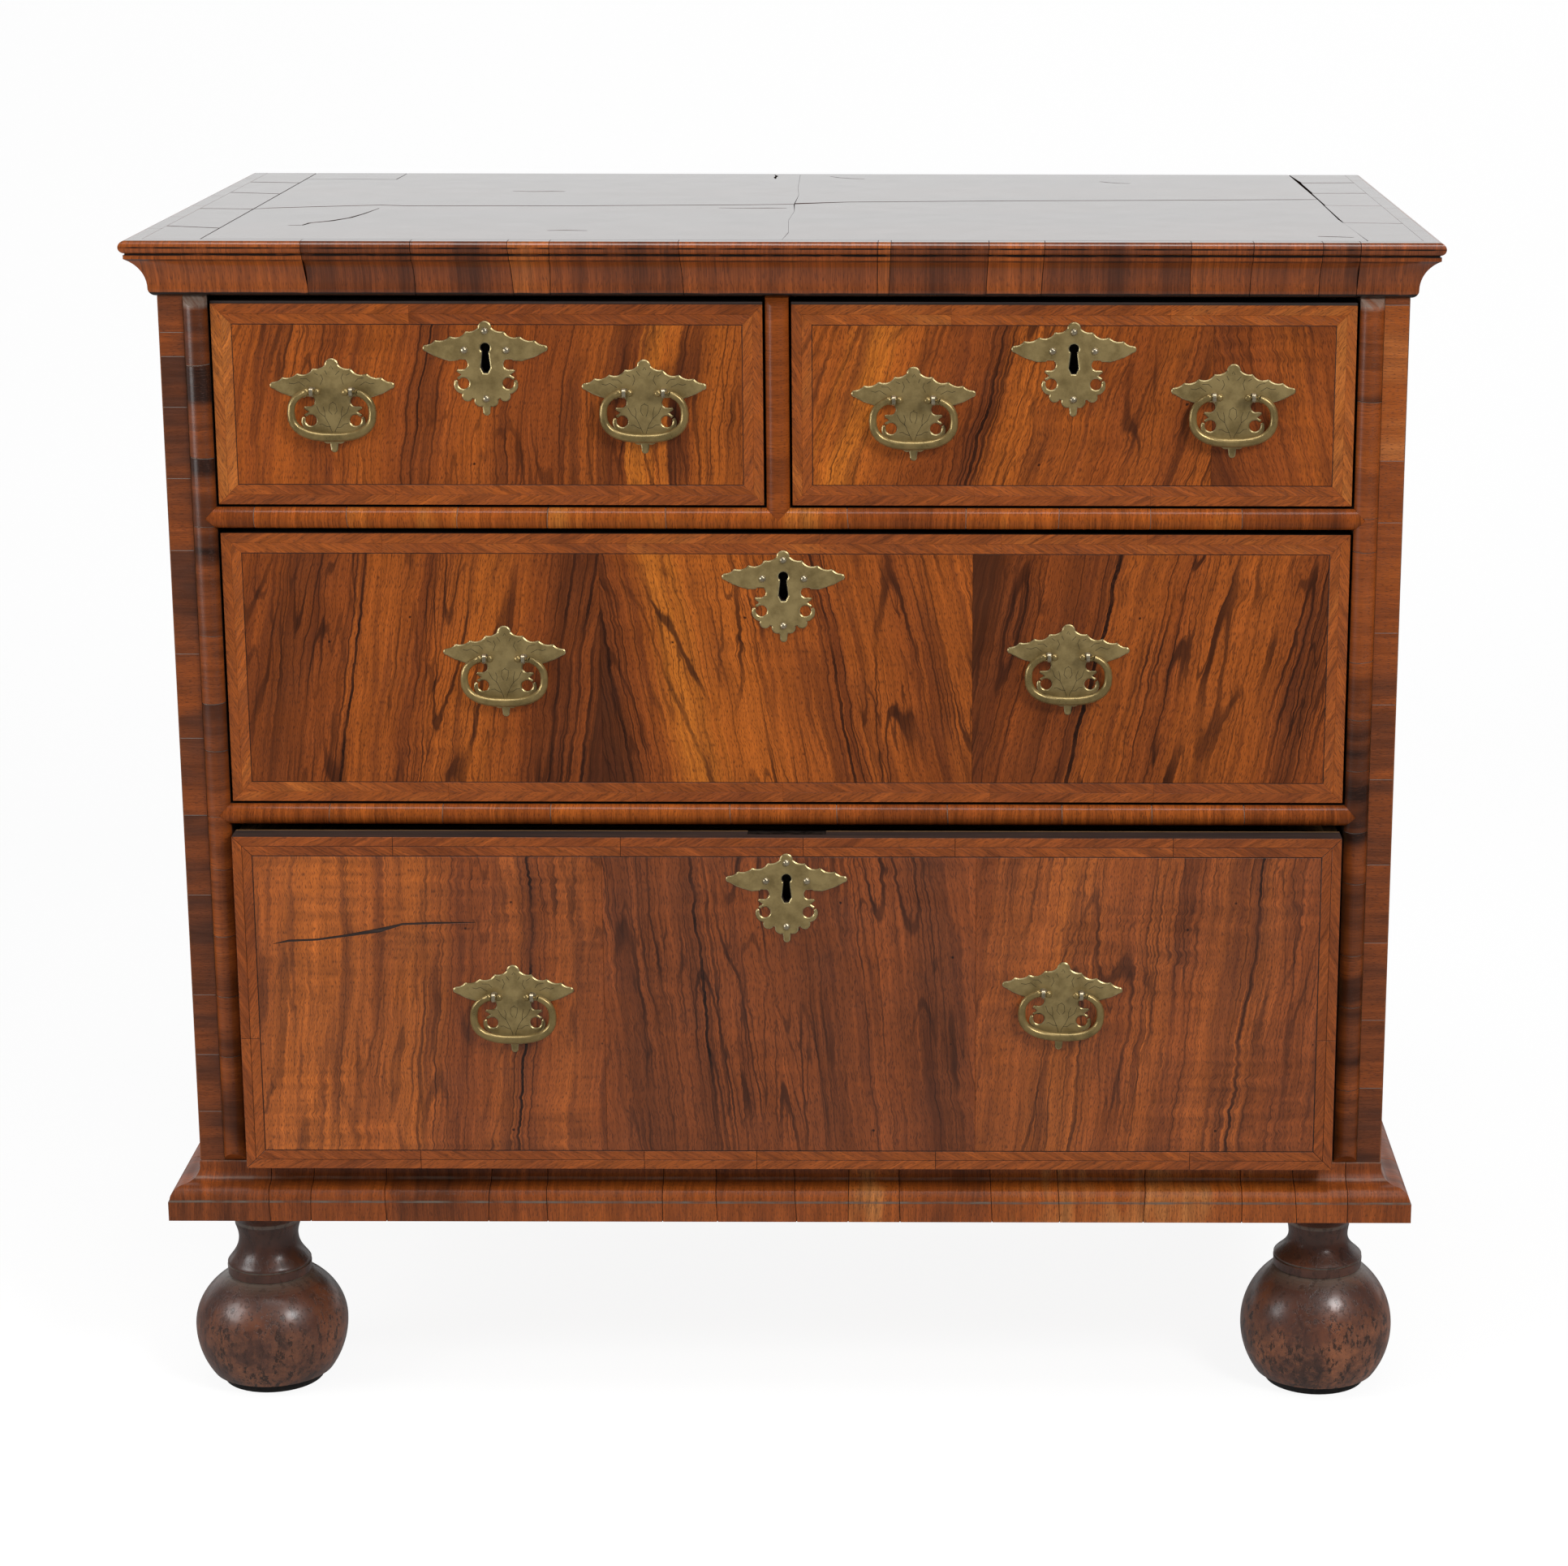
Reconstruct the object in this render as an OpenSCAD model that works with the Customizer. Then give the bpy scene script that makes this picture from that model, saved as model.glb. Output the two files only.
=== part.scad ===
// Chest of drawers: two short drawers over two long ones in a veneered case on turned ball feet.
// Millimetres, +Z up, front towards -Y, origin on the floor under the middle of the whole piece.

/* [Case] */
// Width across the two case sides
case_w = 930; // [860:1:1040]
// Depth from the front edge of the case to its back
case_d = 528; // [480:1:600]
// Thickness of a side board, whose edge is the flat strip beside the moulding
side_t = 18.5; // [16:0.5:22]
// Width of a front post and of the half-round moulding on it
post_w = 18; // [14:0.5:22]
// Depth of a front post
post_d = 40; // [30:1:50]
// Height of the bottom drawer's opening
bottom_open_h = 275; // [240:1:320]
// Height of the middle drawer's opening
middle_open_h = 215; // [190:1:260]
// Height of the short drawers' opening
top_open_h = 159; // [140:1:190]
// Thickness of the rails between the drawers
rail_t = 16; // [14:0.5:20]
// Depth of the rails
rail_d = 60; // [52:1:80]
// Height of the rail behind the cornice
top_rail_h = 22.5; // [18:0.5:30]
// Width of the upright between the short drawers
divider_w = 17.5; // [14:0.5:22]
// Distance of that upright from the middle, negative to the left
divider_x = -5.25; // [-20:0.25:20]
// Thickness of the dustboards
dust_t = 10; // [8:0.5:13]
// Depth of the grooves that hold the dustboards
dust_groove = 6; // [4:0.5:8]
// Height of the guides beside the drawers
guide_h = 20; // [12:1:30]
// Thickness of the bottom board
floor_t = 22; // [18:0.5:26]
// Thickness of the back planks
back_t = 10; // [8:0.5:14]
// Width of the rebate that takes the back planks
back_rebate = 10; // [6:0.5:12]
// Number of back planks
back_count = 4; // [3:1:6]
// Open joint between two back planks
plank_gap = 0.8; // [0.4:0.1:2]

/* [Top and mouldings] */
// Thickness of the top board
top_t = 20; // [16:0.5:24]
// Overhang of the top board itself, inside its edge moulding
top_over = 8; // [4:0.5:9]
// Projection of the cornice beyond the case
cornice_out = 23; // [22:0.5:28]
// Radius of the rounded nose of the cornice
nose_r = 4.75; // [4:0.25:5.5]
// Projection of the lip above the hollow
lip_out = 20; // [18:0.5:21]
// Height of that lip
lip_h = 3; // [2:0.25:5]
// Depth and height of the fine groove under the nose
quirk = 1; // [0.6:0.1:1.4]
// Radius of the bead at the foot of the cornice
bead_r = 6; // [4:0.5:8]
// Height of the base moulding
base_h = 42.5; // [40:0.5:50]
// Projection of the base moulding beyond the case
base_out = 23; // [20:0.5:28]
// Height of its flat band
band_h = 15.5; // [12:0.5:20]
// Radius of the round above the band
round_r = 10; // [8:0.5:10]
// Projection of the half-round mouldings on the posts
post_bead = 7.5; // [5:0.25:8.5]
// Projection of the half-round mouldings on the rails and the divider
rail_bead = 7; // [5:0.25:7.5]

/* [Feet] */
// Height of the feet below the base moulding
foot_h = 158; // [146:1:180]
// Radius of the ball
ball_r = 60.8; // [57:0.1:66]
// Height of the ball's middle above the floor
ball_z = 47; // [43:0.5:52]
// Radius of the pad under a foot
pad_r = 40; // [34:0.5:44]
// Thickness of the pad
pad_h = 8.5; // [5:0.5:10]
// Radius of the collar on the ball
collar_r = 34.5; // [30:0.5:38]
// Height of the collar
collar_h = 4.5; // [3:0.5:6]
// Radius of the neck at its narrowest
neck_r = 24.3; // [20:0.1:27]
// Radius of the hollow that shapes the neck
hollow_r = 20; // [16:0.5:22]
// Radius of the cap under the case
cap_r = 35; // [30:0.5:38]
// Radius of the dowel turned on the foot
dowel_r = 12; // [9:0.5:14]
// Distance of a foot's axis from the side of the case
foot_in = 42; // [40:1:60]
// Distance of a front foot's axis behind the front of the case
foot_front = 45; // [40:1:70]
// Distance of a rear foot's axis from the back
foot_rear = 64; // [62:1:90]
// Width of the bearers that the feet are fixed to
bearer_w = 110; // [95:1:140]

/* [Drawers] */
// Thickness of the drawer fronts
front_t = 20; // [18:0.5:24]
// Depth of the drawers, front to back
drawer_d = 500; // [430:1:505]
// Thickness of the drawer sides
wall_t = 11; // [9:0.5:14]
// Thickness of the drawer backs
rear_t = 11; // [9:0.5:14]
// Thickness of the drawer bottoms
board_t = 8; // [6:0.5:10]
// Height of the runner strips under a drawer
runner_h = 5; // [4:0.5:7]
// Width of the runner strips
runner_w = 14; // [10:1:20]
// Gap beside the short and the middle drawers
side_gap = 2; // [1:0.25:3]
// Gap beside the bottom drawer, which has shrunk more
low_side_gap = 4; // [1:0.25:5]
// Gap under a drawer front
gap_below = 2; // [1:0.25:3]
// Gap over a drawer front
gap_above = 4; // [2:0.25:5]
// How far the sides and the back stop below the top of the front
wall_drop = 3; // [2:0.5:10]
// How far the bottom drawer stands open
ajar = 24; // [24:0.5:60]
// Target distance between dovetails
tail_pitch = 58; // [45:1:80]
// Wood left in front of the dovetails
lap = 8; // [5:0.5:9]

/* [Brass] */
// Width of a plate across its wing tips
plate_w = 93; // [80:0.5:100]
// Height of a plate, lobe to tongue
plate_h = 70.7; // [62:0.1:76]
// Thickness of the plates
plate_t = 1.5; // [1.2:0.1:2]
// Distance of a bail's pivot from the drawer front
pivot_out = 7.5; // [7:0.25:10]
// Half the distance between a handle's two posts
post_half = 14.7; // [13:0.1:16]
// How far the pivots lie below the wing tips
pivot_drop = 4.3; // [3:0.1:6]
// Half width of a bail, to the middle of its bar
bail_half = 30.5; // [28:0.5:34]
// Drop of a bail from its pivots to the middle of its bar
bail_drop = 34; // [30:0.5:38]
// Radius of the bail's bar at its ends
bar_end_r = 2.2; // [1.9:0.1:2.5]
// Radius of the bail's bar at the grip
bar_grip_r = 3.1; // [2.5:0.1:3.4]
// Radius of the eye on a post
eye_r = 3.7; // [3.2:0.1:4.2]
// Width of the eye
eye_w = 2.6; // [2:0.1:3.2]
// Radius of the bail's pivot pins
pin_r = 1.5; // [1.2:0.1:1.7]
// Radius of the posts' shanks
shank_r = 1.8; // [1.4:0.1:2]
// Radius of the domed pins that hold a key plate
dome_r = 2.8; // [2.2:0.1:3.2]
// Distance of a short drawer's key plate below the top of its front, to the tips of its wings
key_drop = 34.5; // [32:0.5:38]
// The same on the long drawers
low_key_drop = 32.5; // [30:0.5:38]
// Radius of the round part of the keyhole
key_r = 3.8; // [3:0.1:4.2]
// Length of the keyhole below its round part
key_len = 19; // [16:0.5:21]

/* [Locks] */
// Width of a lock case
lock_w = 60; // [54:1:75]
// Height of a lock case
lock_h = 56; // [54:1:64]
// Depth of a lock case
lock_d = 11; // [10:0.5:12]
// Thickness of the lock's plates
lock_t = 1.5; // [1.2:0.1:2]
// Width of a bolt
bolt_w = 27; // [22:1:34]
// Thickness of a bolt
bolt_t = 3.5; // [3:0.1:4]
// Distance of a bolt behind the face of the drawer front
bolt_y = 11.5; // [11:0.1:12]
// Length of a bolt
bolt_h = 40; // [38:1:44]
// Travel of a bolt
bolt_travel = 9; // [6:0.5:10]

/* [Hidden] */
$fn = 48;

// Numbers of the four drawers in the lists below
TOP_LEFT = 0;
TOP_RIGHT = 1;
MIDDLE = 2;
BOTTOM = 3;

// Overrun of cuts, clearance of glued and nailed joints, and of pins that turn
over = 1;
fit = 0.1;
turn_fit = 0.08;
slide_fit = 0.3;

// Levels, from the floor up
base_z = foot_h;
floor_z = base_z + base_h;
rail_low_z = floor_z + bottom_open_h;
middle_z = rail_low_z + rail_t;
rail_high_z = middle_z + middle_open_h;
top_floor_z = rail_high_z + rail_t;
head_z = top_floor_z + top_open_h;
case_top_z = head_z + top_rail_h;

// Half widths and depths inside the case
case_half = case_w / 2;
inner_half = case_half - side_t;
open_half = inner_half - post_w;
back_y = case_d - back_t;
runway_y = back_y - slide_fit;

// The frame's middle lies between the foremost bail posts and the back of the case
front_reach = ajar + pivot_out + eye_r;
mid_y = (case_d - front_reach) / 2;

// Drawers: left and right ends, level of the runway, height of the opening, how far each stands open
d_left = [-open_half + side_gap, divider_x + divider_w / 2 + side_gap,
  -open_half + side_gap, -open_half + low_side_gap];
d_right = [divider_x - divider_w / 2 - side_gap, open_half - side_gap,
  open_half - side_gap, open_half - low_side_gap];
d_floor = [top_floor_z, top_floor_z, middle_z, floor_z];
d_open_h = [top_open_h, top_open_h, middle_open_h, bottom_open_h];
d_ajar = [0, 0, 0, ajar];

// Handles: distance of each pair from the middle of its drawer, drop of the left and right plate
handle_half = [116.5, 119.5, 214.5, 212];
handle_drop = [[62.5, 63], [68, 65.5], [91, 89], [122, 119]];
// Turn of the left and right plates in degrees: one of the old plates hangs askew
handle_tilt = [[0, 0], [0, 0], [0, 0], [0, 3]];
// Distance of each key plate from the middle of its drawer
key_shift = [-1.5, 0, -2, -0.5];

function mid_x(d) = (d_left[d] + d_right[d]) / 2;
function front_low(d) = d_floor[d] + gap_below;
function front_top(d) = d_floor[d] + d_open_h[d] - gap_above;
function board_z(d) = d_floor[d] + slide_fit + runner_h;
function wall_z(d) = board_z(d) + board_t;
function wall_top(d) = front_top(d) - wall_drop;
function key_x(d) = mid_x(d) + key_shift[d];
function key_z(d) = front_top(d) - (d < MIDDLE ? key_drop : low_key_drop);
function handle_x(d, side) = mid_x(d) + side * handle_half[d];
function handle_z(d, side) = front_top(d) - handle_drop[d][side < 0 ? 0 : 1];
function tilt(d, side) = handle_tilt[d][side < 0 ? 0 : 1];

// Colours of the woods and metals
WALNUT = "sienna";
WALNUT_DARK = "saddlebrown";
PINE = "burlywood";
OAK = "peru";
BRASS = "darkkhaki";
IRON = "dimgray";

module in_frame(d = TOP_LEFT) {
  translate([0, -mid_y - d_ajar[d], 0]) children();
}

module block(low, high) {
  translate(low) cube(high - low);
}

module both_sides() {
  children();
  mirror([1, 0, 0]) children();
}

// A prism along X whose outline is drawn in (Y, Z)
module along_x(x0, x1) {
  translate([x0, 0, 0]) rotate([90, 0, 90]) linear_extrude(x1 - x0) children();
}

// A prism along Y whose outline is drawn in (X, Z)
module along_y(y0, y1) {
  translate([0, y1, 0]) rotate([90, 0, 0]) linear_extrude(y1 - y0) children();
}

// A prism along Z whose outline is drawn in (X, Y)
module along_z(z0, z1) {
  translate([0, 0, z0]) linear_extrude(z1 - z0) children();
}

// Half-round moulding, its flat on the X axis and its nose towards -Y
module bead_outline(width, out) {
  radius = (out * out + width * width / 4) / (2 * out);
  intersection() {
    translate([0, radius - out]) circle(radius);
    translate([-width / 2, -out]) square([width, out]);
  }
}

// The case

module top_board() {
  color(WALNUT) in_frame()
    block([-case_half - top_over, -top_over, case_top_z],
      [case_half + top_over, case_d, case_top_z + top_t]);
}

// Section of the cornice: x outward from the case, y up from the cornice's foot
cornice_h = top_rail_h + top_t;
nose_z = cornice_h - 2 * nose_r;
lip_z = nose_z - quirk;
hollow_top = lip_z - lip_h;
hollow_in = lip_out - bead_r;
hollow_rise = hollow_top - bead_r;
hollow_radius = (hollow_in * hollow_in + hollow_rise * hollow_rise) / (2 * hollow_in);

module cornice_outline() {
  difference() {
    union() {
      intersection() {
        translate([0, bead_r]) circle(bead_r);
        square(bead_r);
      }
      difference() {
        translate([0, bead_r]) square([lip_out, hollow_rise]);
        translate([bead_r + hollow_radius, bead_r]) circle(hollow_radius, $fn = 180);
      }
      translate([0, hollow_top]) square([lip_out, lip_h]);
      translate([0, lip_z]) square([lip_out - quirk, quirk]);
      translate([0, nose_z]) square([cornice_out - nose_r, 2 * nose_r]);
      translate([cornice_out - nose_r, nose_z + nose_r]) circle(nose_r);
    }
    translate([-over, top_rail_h]) square([top_over + over, top_t + over]);
  }
}

// Section of the base moulding: x outward from the case, y up from its foot
module base_outline() {
  round_out = base_out - quirk;
  round_z = band_h + quirk;
  cove_r = round_out - round_r - quirk;
  square([base_out, band_h]);
  square([round_out, round_z]);
  intersection() {
    translate([round_out - round_r, round_z]) circle(round_r);
    translate([0, round_z]) square([round_out, round_r]);
  }
  translate([0, round_z]) square([round_out - round_r, round_r]);
  difference() {
    translate([0, round_z + round_r]) square([round_out - round_r, cove_r]);
    translate([round_out - round_r, round_z + round_r + cove_r]) circle(cove_r);
  }
  translate([0, round_z + round_r]) square([quirk, base_h - round_z - round_r]);
}

// Plan of the front run of a moulding that is mitred to its returns
module front_plan(out) {
  polygon([[-case_half, 0], [case_half, 0], [case_half + out, -out], [-case_half - out, -out]]);
}

// Plan of the right-hand return
module return_plan(out) {
  polygon([[case_half, 0], [case_half + out, -out], [case_half + out, case_d], [case_half, case_d]]);
}

module front_run(out, z, rise) {
  intersection() {
    translate([0, 0, z]) along_x(-case_half - out, case_half + out) mirror([1, 0]) children();
    along_z(z, z + rise) front_plan(out);
  }
}

module return_run(out, z, rise) {
  both_sides() intersection() {
    translate([case_half, 0, z]) along_y(-out, case_d) children();
    along_z(z, z + rise) return_plan(out);
  }
}

module cornice_front() {
  color(WALNUT) in_frame() front_run(cornice_out, head_z, cornice_h) cornice_outline();
}

module cornice_returns() {
  color(WALNUT) in_frame() return_run(cornice_out, head_z, cornice_h) cornice_outline();
}

module base_front() {
  color(WALNUT) in_frame() front_run(base_out, base_z, base_h) base_outline();
}

module base_returns() {
  color(WALNUT) in_frame() return_run(base_out, base_z, base_h) base_outline();
}

// Right-hand side board, grooved for the dustboards and rebated for the back
module side_board() {
  difference() {
    block([inner_half, 0, floor_z], [case_half, case_d, case_top_z]);
    for (z = [middle_z, top_floor_z])
      block([inner_half - over, rail_d, z - dust_t], [inner_half + dust_groove + fit, back_y + over, z]);
    block([inner_half - over, back_y, floor_z - over],
      [inner_half + back_rebate, case_d + over, case_top_z + over]);
  }
}

module side_left() {
  color(WALNUT) in_frame() mirror([1, 0, 0]) side_board();
}

module side_right() {
  color(WALNUT) in_frame() side_board();
}

module bottom_board() {
  color(PINE) in_frame() block([-case_half, 0, floor_z - floor_t], [case_half, back_y, floor_z]);
}

module back_boards() {
  low = floor_z - floor_t;
  pitch = (case_top_z - low) / back_count;
  half = inner_half + back_rebate - fit;
  color(PINE) in_frame() for (i = [0 : back_count - 1])
    block([-half, back_y, low + i * pitch], [half, case_d, low + (i + 1) * pitch - plank_gap]);
}

module dustboards() {
  half = inner_half + dust_groove;
  color(PINE) in_frame() for (z = [middle_z, top_floor_z])
    block([-half, rail_d, z - dust_t], [half, back_y - slide_fit, z]);
}

// Mortise for a raised bolt, up into the rail over a drawer
module bolt_mortise(d) {
  over_drawer = d_floor[d] + d_open_h[d];
  reach = bolt_travel - gap_above + over;
  block([key_x(d) - bolt_w / 2 - over, bolt_y - over, over_drawer - over],
    [key_x(d) + bolt_w / 2 + over, bolt_y + bolt_t + over, over_drawer + reach]);
}

module top_rail() {
  color(PINE) in_frame() difference() {
    block([-inner_half, 0, head_z], [inner_half, rail_d, case_top_z]);
    bolt_mortise(TOP_LEFT);
    bolt_mortise(TOP_RIGHT);
  }
}

// A rail between drawers, notched round the posts
module drawer_rail(z, d) {
  difference() {
    block([-inner_half, 0, z], [inner_half, rail_d, z + rail_t]);
    both_sides() block([open_half, -over, z - over], [inner_half + over, post_d, z + rail_t + over]);
    bolt_mortise(d);
  }
}

module drawer_rails() {
  color(PINE) in_frame() {
    drawer_rail(rail_low_z, BOTTOM);
    drawer_rail(rail_high_z, MIDDLE);
  }
}

// Cuts the top or bottom end of an upright half-round moulding back at 45 degrees
module slant_cut(width, out, z, up) {
  far = out + over;
  along_x(-width / 2 - over, width / 2 + over)
    polygon([[over, z + up * over], [-far, z - up * far], [-far, z + up * over]]);
}

// V notch in an upright moulding whose edge lies at x, with its point towards +X
module notch(x, z, half, out) {
  along_y(-out - over, over) polygon([[x - over, z - half - over], [x - over, z + half + over],
    [x, z + half], [x + half, z], [x, z - half]]);
}

// Right-hand post moulding, notched where the rail mouldings meet it
module stile_moulding() {
  middle = open_half + post_w / 2;
  difference() {
    translate([middle, 0, 0]) along_z(floor_z, head_z) bead_outline(post_w, post_bead);
    translate([middle, 0, 0]) slant_cut(post_w, post_bead, head_z, 1);
    translate([middle, 0, 0]) slant_cut(post_w, post_bead, floor_z, -1);
    for (z = [rail_low_z, rail_high_z]) notch(open_half, z + rail_t / 2, rail_t / 2, post_bead);
  }
}

module stile_mouldings() {
  color(WALNUT_DARK) in_frame() both_sides() stile_moulding();
}

// A rail moulding, pointed at both ends
module rail_moulding(z) {
  half = rail_t / 2;
  reach = open_half + half;
  intersection() {
    translate([0, 0, z + half]) along_x(-reach, reach) rotate(-90) bead_outline(rail_t, rail_bead);
    along_y(-rail_bead - over, over) polygon([[-reach, z + half], [-open_half, z], [open_half, z],
      [reach, z + half], [open_half, z + rail_t], [-open_half, z + rail_t]]);
  }
}

module divider_point(z, grow) {
  half = divider_w / 2 + grow;
  along_y(-rail_bead - over, over) polygon([[divider_x - half, z + over], [divider_x - half, z],
    [divider_x, z - half], [divider_x + half, z], [divider_x + half, z + over]]);
}

module rail_mouldings() {
  color(WALNUT) in_frame() {
    rail_moulding(rail_low_z);
    difference() {
      rail_moulding(rail_high_z);
      divider_point(top_floor_z, 0);
    }
  }
}

// The upright between the short drawers, with its moulding pointed into the rail's
module divider() {
  half = divider_w / 2;
  color(WALNUT) in_frame() {
    block([divider_x - half, 0, top_floor_z], [divider_x + half, rail_d, head_z]);
    difference() {
      translate([divider_x, 0, 0]) along_z(top_floor_z - half, head_z) bead_outline(divider_w, rail_bead);
      translate([divider_x, 0, 0]) slant_cut(divider_w, rail_bead, head_z, 1);
      difference() {
        block([divider_x - divider_w, -rail_bead - over, top_floor_z - divider_w],
          [divider_x + divider_w, over, top_floor_z]);
        divider_point(top_floor_z, 0);
      }
    }
  }
}

module stile_posts() {
  color(PINE) in_frame() both_sides() block([open_half, 0, floor_z], [inner_half, post_d, head_z]);
}

module drawer_guides() {
  color(OAK) in_frame() {
    for (z = [floor_z, middle_z, top_floor_z]) both_sides()
      block([open_half, post_d, z], [inner_half, runway_y, z + guide_h]);
    block([divider_x - divider_w / 2, rail_d, top_floor_z],
      [divider_x + divider_w / 2, runway_y, top_floor_z + guide_h]);
  }
}

// Middles of the feet
foot_x = case_half - foot_in;
foot_front_y = foot_front;
foot_rear_y = case_d - foot_rear;
dowel_h = floor_z - floor_t - base_z;

module foot_bearers() {
  color(PINE) in_frame() both_sides() difference() {
    block([case_half - bearer_w, 0, base_z], [case_half, back_y, base_z + dowel_h]);
    for (y = [foot_front_y, foot_rear_y])
      translate([foot_x, y, base_z - over]) cylinder(h = dowel_h + 2 * over, r = dowel_r + fit);
  }
}

// A turned foot: ball cut flat over its pad, collar, hollowed neck, cap and dowel
module foot() {
  collar_z = ball_z + sqrt(ball_r * ball_r - collar_r * collar_r);
  hollow_low = collar_z + collar_h;
  hollow_z = hollow_low + sqrt(hollow_r * hollow_r - pow(neck_r + hollow_r - collar_r + quirk, 2));
  cap_z = hollow_z + sqrt(hollow_r * hollow_r - pow(neck_r + hollow_r - cap_r, 2));
  rotate_extrude($fn = 96) {
    intersection() {
      translate([0, ball_z]) circle(ball_r, $fn = 120);
      translate([0, pad_h]) square([ball_r, collar_z - pad_h]);
    }
    translate([0, collar_z - quirk]) square([collar_r, collar_h + quirk]);
    difference() {
      translate([0, hollow_low]) square([cap_r, cap_z - hollow_low]);
      translate([neck_r + hollow_r, hollow_z]) circle(hollow_r, $fn = 96);
    }
    translate([0, cap_z]) square([cap_r, base_z - cap_z]);
    translate([0, base_z]) square([dowel_r, dowel_h - over]);
  }
}

module at_feet() {
  both_sides() for (y = [foot_front_y, foot_rear_y]) translate([foot_x, y, 0]) children();
}

module feet() {
  color(WALNUT_DARK) in_frame() at_feet() foot();
}

module foot_pads() {
  color(IRON) in_frame() at_feet() cylinder(h = pad_h, r = pad_r, $fn = 96);
}

// The drawers

// Share of the tails' pitch that a tail takes at its narrow root, and its flare per length
tail_share = 0.5;
flare_share = 0.22;
tail_len = front_t - lap;
rebate_d = lap;

function tail_count(height) = max(2, round(height / tail_pitch));

// Tails along an upright edge at y, from z up by height, pointing towards dir, grown by a clearance
module tails(y, dir, length, z, height, grow) {
  count = tail_count(height);
  pitch = height / count;
  root = pitch * tail_share / 2 + grow;
  tip = root + length * flare_share;
  for (i = [0 : count - 1]) {
    c = z + (i + 0.5) * pitch;
    polygon([[y - dir * grow, c - root], [y + dir * (length + grow), c - tip],
      [y + dir * (length + grow), c + tip], [y - dir * grow, c + root]]);
  }
}

function wall_h(d) = wall_top(d) - wall_z(d);

// Tails of a drawer side at both ends, in (Y, Z), grown by a clearance
module front_tails(d, grow) {
  tails(front_t, -1, tail_len, wall_z(d), wall_h(d), grow);
}

module rear_tails(d, grow) {
  tails(drawer_d - rear_t, 1, rear_t, wall_z(d), wall_h(d), grow);
}

module keyhole_outline() {
  neck_share = 0.55;
  tip_share = 0.45;
  shoulder_share = 0.78;
  circle(key_r);
  polygon([[-key_r * neck_share, 0], [key_r * neck_share, 0], [key_r, -key_len * shoulder_share],
    [key_r * tip_share, -key_len], [-key_r * tip_share, -key_len], [-key_r, -key_len * shoulder_share]]);
}

// Puts its children on a drawer's left or right plate, by the middle between the wing tips
module at_handle(d, side) {
  translate([handle_x(d, side), 0, handle_z(d, side)]) rotate([0, tilt(d, side), 0]) children();
}

// Everything that goes through or into the front for its lock and brass
module brass_bores(d) {
  translate([key_x(d), 0, key_z(d)]) along_y(-over, front_t - lock_d + over) keyhole_outline();
  for (p = pin_places())
    translate([key_x(d) + p[0], 0, key_z(d) + p[1]]) rotate([-90, 0, 0])
      translate([0, 0, -over]) cylinder(h = pin_len + 2 * over, r = pin_shank_r + fit);
  for (side = [-1, 1]) at_handle(d, side) for (s = [-1, 1])
    translate([s * post_half, -over, -pivot_drop]) rotate([-90, 0, 0])
      cylinder(h = front_t + 2 * over, r = shank_r + fit);
}

module drawer_front(d) {
  color(WALNUT) in_frame(d) difference() {
    block([d_left[d], 0, front_low(d)], [d_right[d], front_t, front_top(d)]);
    along_x(d_left[d] - over, d_left[d] + wall_t + fit) front_tails(d, fit);
    along_x(d_right[d] - wall_t - fit, d_right[d] + over) front_tails(d, fit);
    block([d_left[d] - over, front_t - rebate_d, front_low(d) - over],
      [d_right[d] + over, front_t + over, wall_z(d)]);
    block([key_x(d) - lock_w / 2 - fit, front_t - lock_d, front_top(d) - lock_h - fit],
      [key_x(d) + lock_w / 2 + fit, front_t + over, front_top(d) + over]);
    brass_bores(d);
  }
}

module drawer_sides(d) {
  color(OAK) in_frame(d) for (x = [d_left[d], d_right[d] - wall_t])
    along_x(x, x + wall_t) {
      translate([front_t, wall_z(d)]) square([drawer_d - rear_t - front_t, wall_h(d)]);
      front_tails(d, 0);
      rear_tails(d, 0);
    }
}

module drawer_back(d) {
  color(OAK) in_frame(d) difference() {
    block([d_left[d], drawer_d - rear_t, wall_z(d)], [d_right[d], drawer_d, wall_top(d)]);
    along_x(d_left[d] - over, d_left[d] + wall_t + fit) rear_tails(d, fit);
    along_x(d_right[d] - wall_t - fit, d_right[d] + over) rear_tails(d, fit);
  }
}

// Bottom board, nailed up under the sides, with a runner strip along each edge
module drawer_bottom(d) {
  color(OAK) in_frame(d) {
    block([d_left[d], front_t - rebate_d + fit, board_z(d)], [d_right[d], drawer_d, wall_z(d)]);
    for (x = [d_left[d], d_right[d] - runner_w])
      block([x, front_t, board_z(d) - runner_h], [x + runner_w, drawer_d, board_z(d) - fit]);
  }
}

// Places of things on a lock: from the drawer front's face, and from its top edge
lock_y = front_t - lock_d;

module lock_case(d) {
  top = front_top(d);
  half = lock_w / 2;
  color(IRON) in_frame(d) difference() {
    block([key_x(d) - half, lock_y, top - lock_h], [key_x(d) + half, front_t, top]);
    block([key_x(d) - half + lock_t, lock_y + lock_t, top - lock_h + lock_t],
      [key_x(d) + half - lock_t, front_t - lock_t, top - lock_t]);
    block([key_x(d) - bolt_w / 2 - slide_fit, bolt_y - slide_fit, top - lock_t - over],
      [key_x(d) + bolt_w / 2 + slide_fit, bolt_y + bolt_t + slide_fit, top + over]);
    translate([key_x(d), 0, key_z(d)]) along_y(lock_y - over, lock_y + lock_t + over) keyhole_outline();
  }
}

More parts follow.
